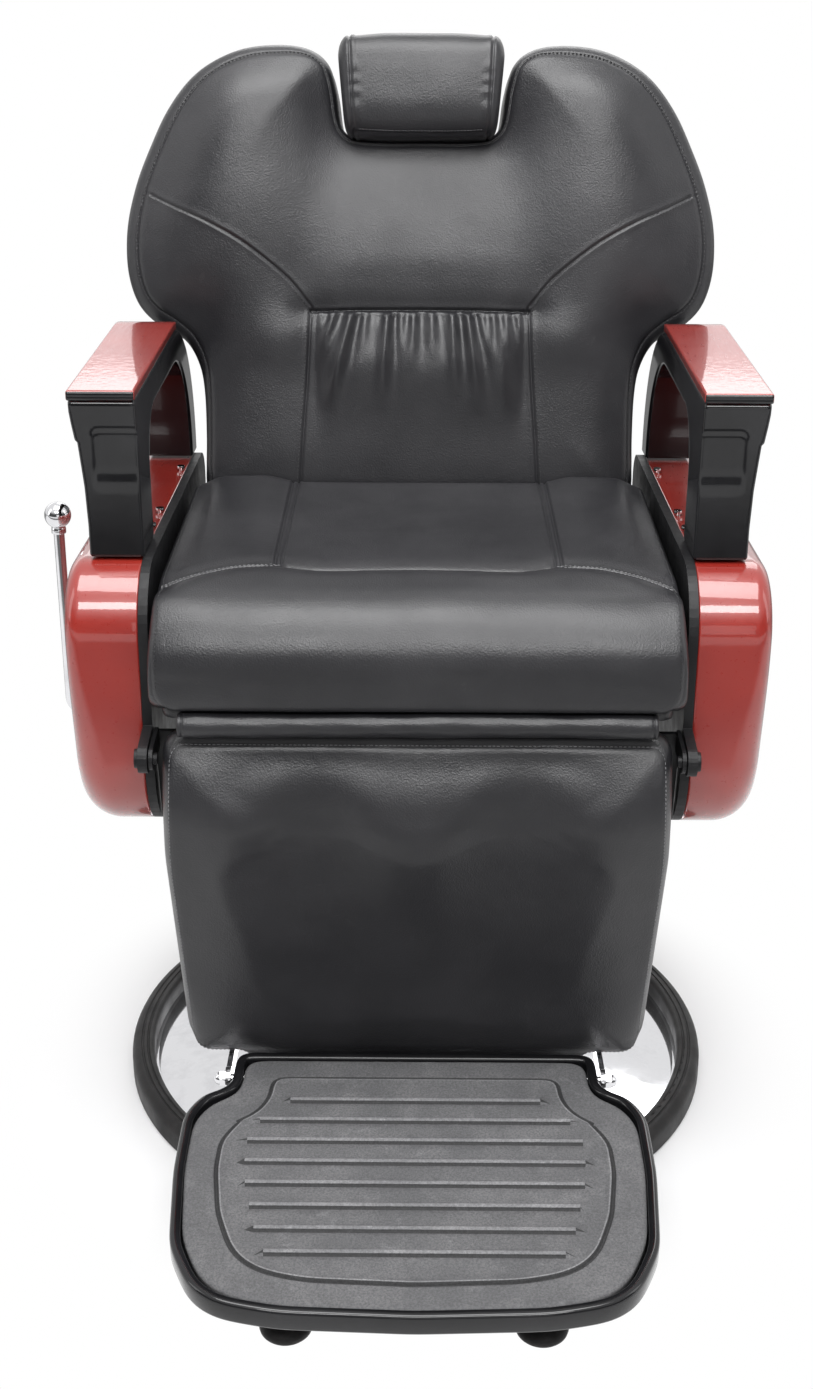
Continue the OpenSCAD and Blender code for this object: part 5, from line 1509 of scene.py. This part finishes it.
def make_mat():
    """The rubber mat in the tray, with a grooved border and raised ribs."""
    level = FOOT["thick"] / 2 - 2.4
    floor = FOOT["floor"] - FOOT["thick"] / 2
    outline = foot_outline(FOOT["rim"] + 0.5, 4.5)
    groove = foot_outline(FOOT["rim"] + 32.5, 3)
    loop = np.vstack([groove, groove[:1]])
    places = [RIB_START + RIB_STEP * k for k in range(len(RIB_HALF))]
    ribs = [np.array([(-half, y), (half, y)]) for half, y in zip(RIB_HALF, places)]
    pattern = Pattern(outline, [loop] + ribs, 8)
    height = -2.2 * bell(0, 1.6, pattern.edge)
    gap, side = to_line(pattern.points, loop)
    height += np.where(side > 0, 1.7, 0) * bell(3.2, 2.2, gap) - 2.8 * ramp(2.6, 0.8, gap)
    for line in ribs:
        gap, side = to_line(pattern.points, line)
        height += 2.1 * ramp(3.6, 1.9, gap) - 2.6 * bell(4.2, 1.2, gap) * (side < 0)
    sheet = np.column_stack([pattern.points, level + height])
    walls = [on_foot(flat_ring(outline, z)) for z in (level - 4.5, floor + 0.3)]
    mat = cover("footrest_ribbed_mat", pattern, on_foot(sheet), walls, "grey_rubber")
    # Painted shade in the grooves, and painted highlight on the ribs and the border groove's lip
    paint_rib_light_and_shade(mat, pattern, loop, ribs)
    settle(mat, "footrest", "grey_rubber", "footrest_mat")


def make_feet():
    """Rubber feet under the footrest: bell-shaped buffers with a flat sole."""
    node = "footrest_feet"
    r, high = 26, 22
    gap = 16
    reach = mm_box(node)[1][0] - r
    # How far inside its radius the outside lies, over z
    inward = [(5, 0), (2, 0.7), (0.6, 2.4), (0, 5), (0.5, 7.6), (2.4, 10.4), (6, 13.2), (10, 15.4),
              (12.6, 17.4), (14, 19.6), (14.6, 21.2), (15.6, high)]
    profile = [(0.5, 0)] + [(r - d, z) for d, z in inward] + [(6, high)]
    for side, word in ((-1, "left"), (1, "right")):
        foot = lathe(f"buffer_{word}", profile, "black_rubber", 64)
        at = (side * reach, 46 - FOOT["length"], -FOOT["thick"] / 2 - gap - high)
        set_points(foot, on_foot(points_of(foot) + at))
        # The two feet stand in for one node together
        settle(foot, "footrest", "black_rubber", *([node] if side < 0 else []))


def make_lever():
    """The recline lever: a chromed rod that turns up beside the chair, with a ball on its end."""
    low = mm_box("recline_lever")[0]
    y, z = pivot("lever_pull")
    r, bend, root = 6, 16, -300
    x = low[0] + r + 2
    ball_low, ball_high = mm_box("lever_knob")
    corner = [(a, y, b) for a, b in arc((x + bend, z + bend), bend, 270, 180, 12)]
    level = [(root, y, z)] + [(a, y, z) for a in np.linspace(root - 10, x + bend + 2, 14)]
    upright = [(x, y, b) for b in np.linspace(z + bend + 4, ball_low[2] + 4, 30)]
    rod = tube("lever_rod", level + corner + upright, r, "chrome", 28)
    settle(rod, "lever", "chrome", "recline_lever")
    middle = (ball_low + ball_high) / 2
    radius = (ball_high[0] - ball_low[0]) / 2
    center = ball_high[2] - radius
    collar = [(6.2, -6), (7.8, -6), (8.2, -5.4), (8.2, 0.2), (7.6, 0.9)]
    collar = [(q, w - radius) for q, w in collar]
    ball = [(radius * math.cos(t), radius * math.sin(t)) for t in np.radians(np.linspace(-60, 89, 26))]
    knob = lathe("lever_ball", [(q, center + w) for q, w in collar + ball], "chrome", 48, middle)
    settle(knob, "lever", "chrome", "lever_knob")


# ---- the CAD nodes that keep their own mesh ---------------------------------
def dress_nodes(edge=0.8):
    """The slot's finish on each CAD node, with its edges eased by a small bevel."""
    for part in frame["record"]["subparts"]:
        piece = bpy.data.objects[part["node"]]
        look = LOOKS[part["material_slot"]]
        for slot in piece.material_slots:
            slot.material = look
        weld = piece.modifiers.new("weld", "WELD")
        weld.merge_threshold = 0.02 * MM
        bevel = piece.modifiers.new("bevel", "BEVEL")
        bevel.width = edge * MM
        bevel.segments = 2
        bevel.limit_method = "ANGLE"
        bevel.angle_limit = math.radians(40)
        bevel.harden_normals = False


make_camera()
make_softboxes()
make_studio()
make_floor()
dress_nodes()

make_back()
make_pillow()
make_seat()
make_seat_wrap()
make_front_roll()
make_leg_rest()
make_leg_wrap()
for side, word in ((-1, "left"), (1, "right")):
    make_shell(side, f"side_shell_{word}")
    make_arm(side, f"arm_{word}")
    make_cap(side, f"arm_cap_{word}")
make_tray()
make_mat()
make_feet()
make_lever()
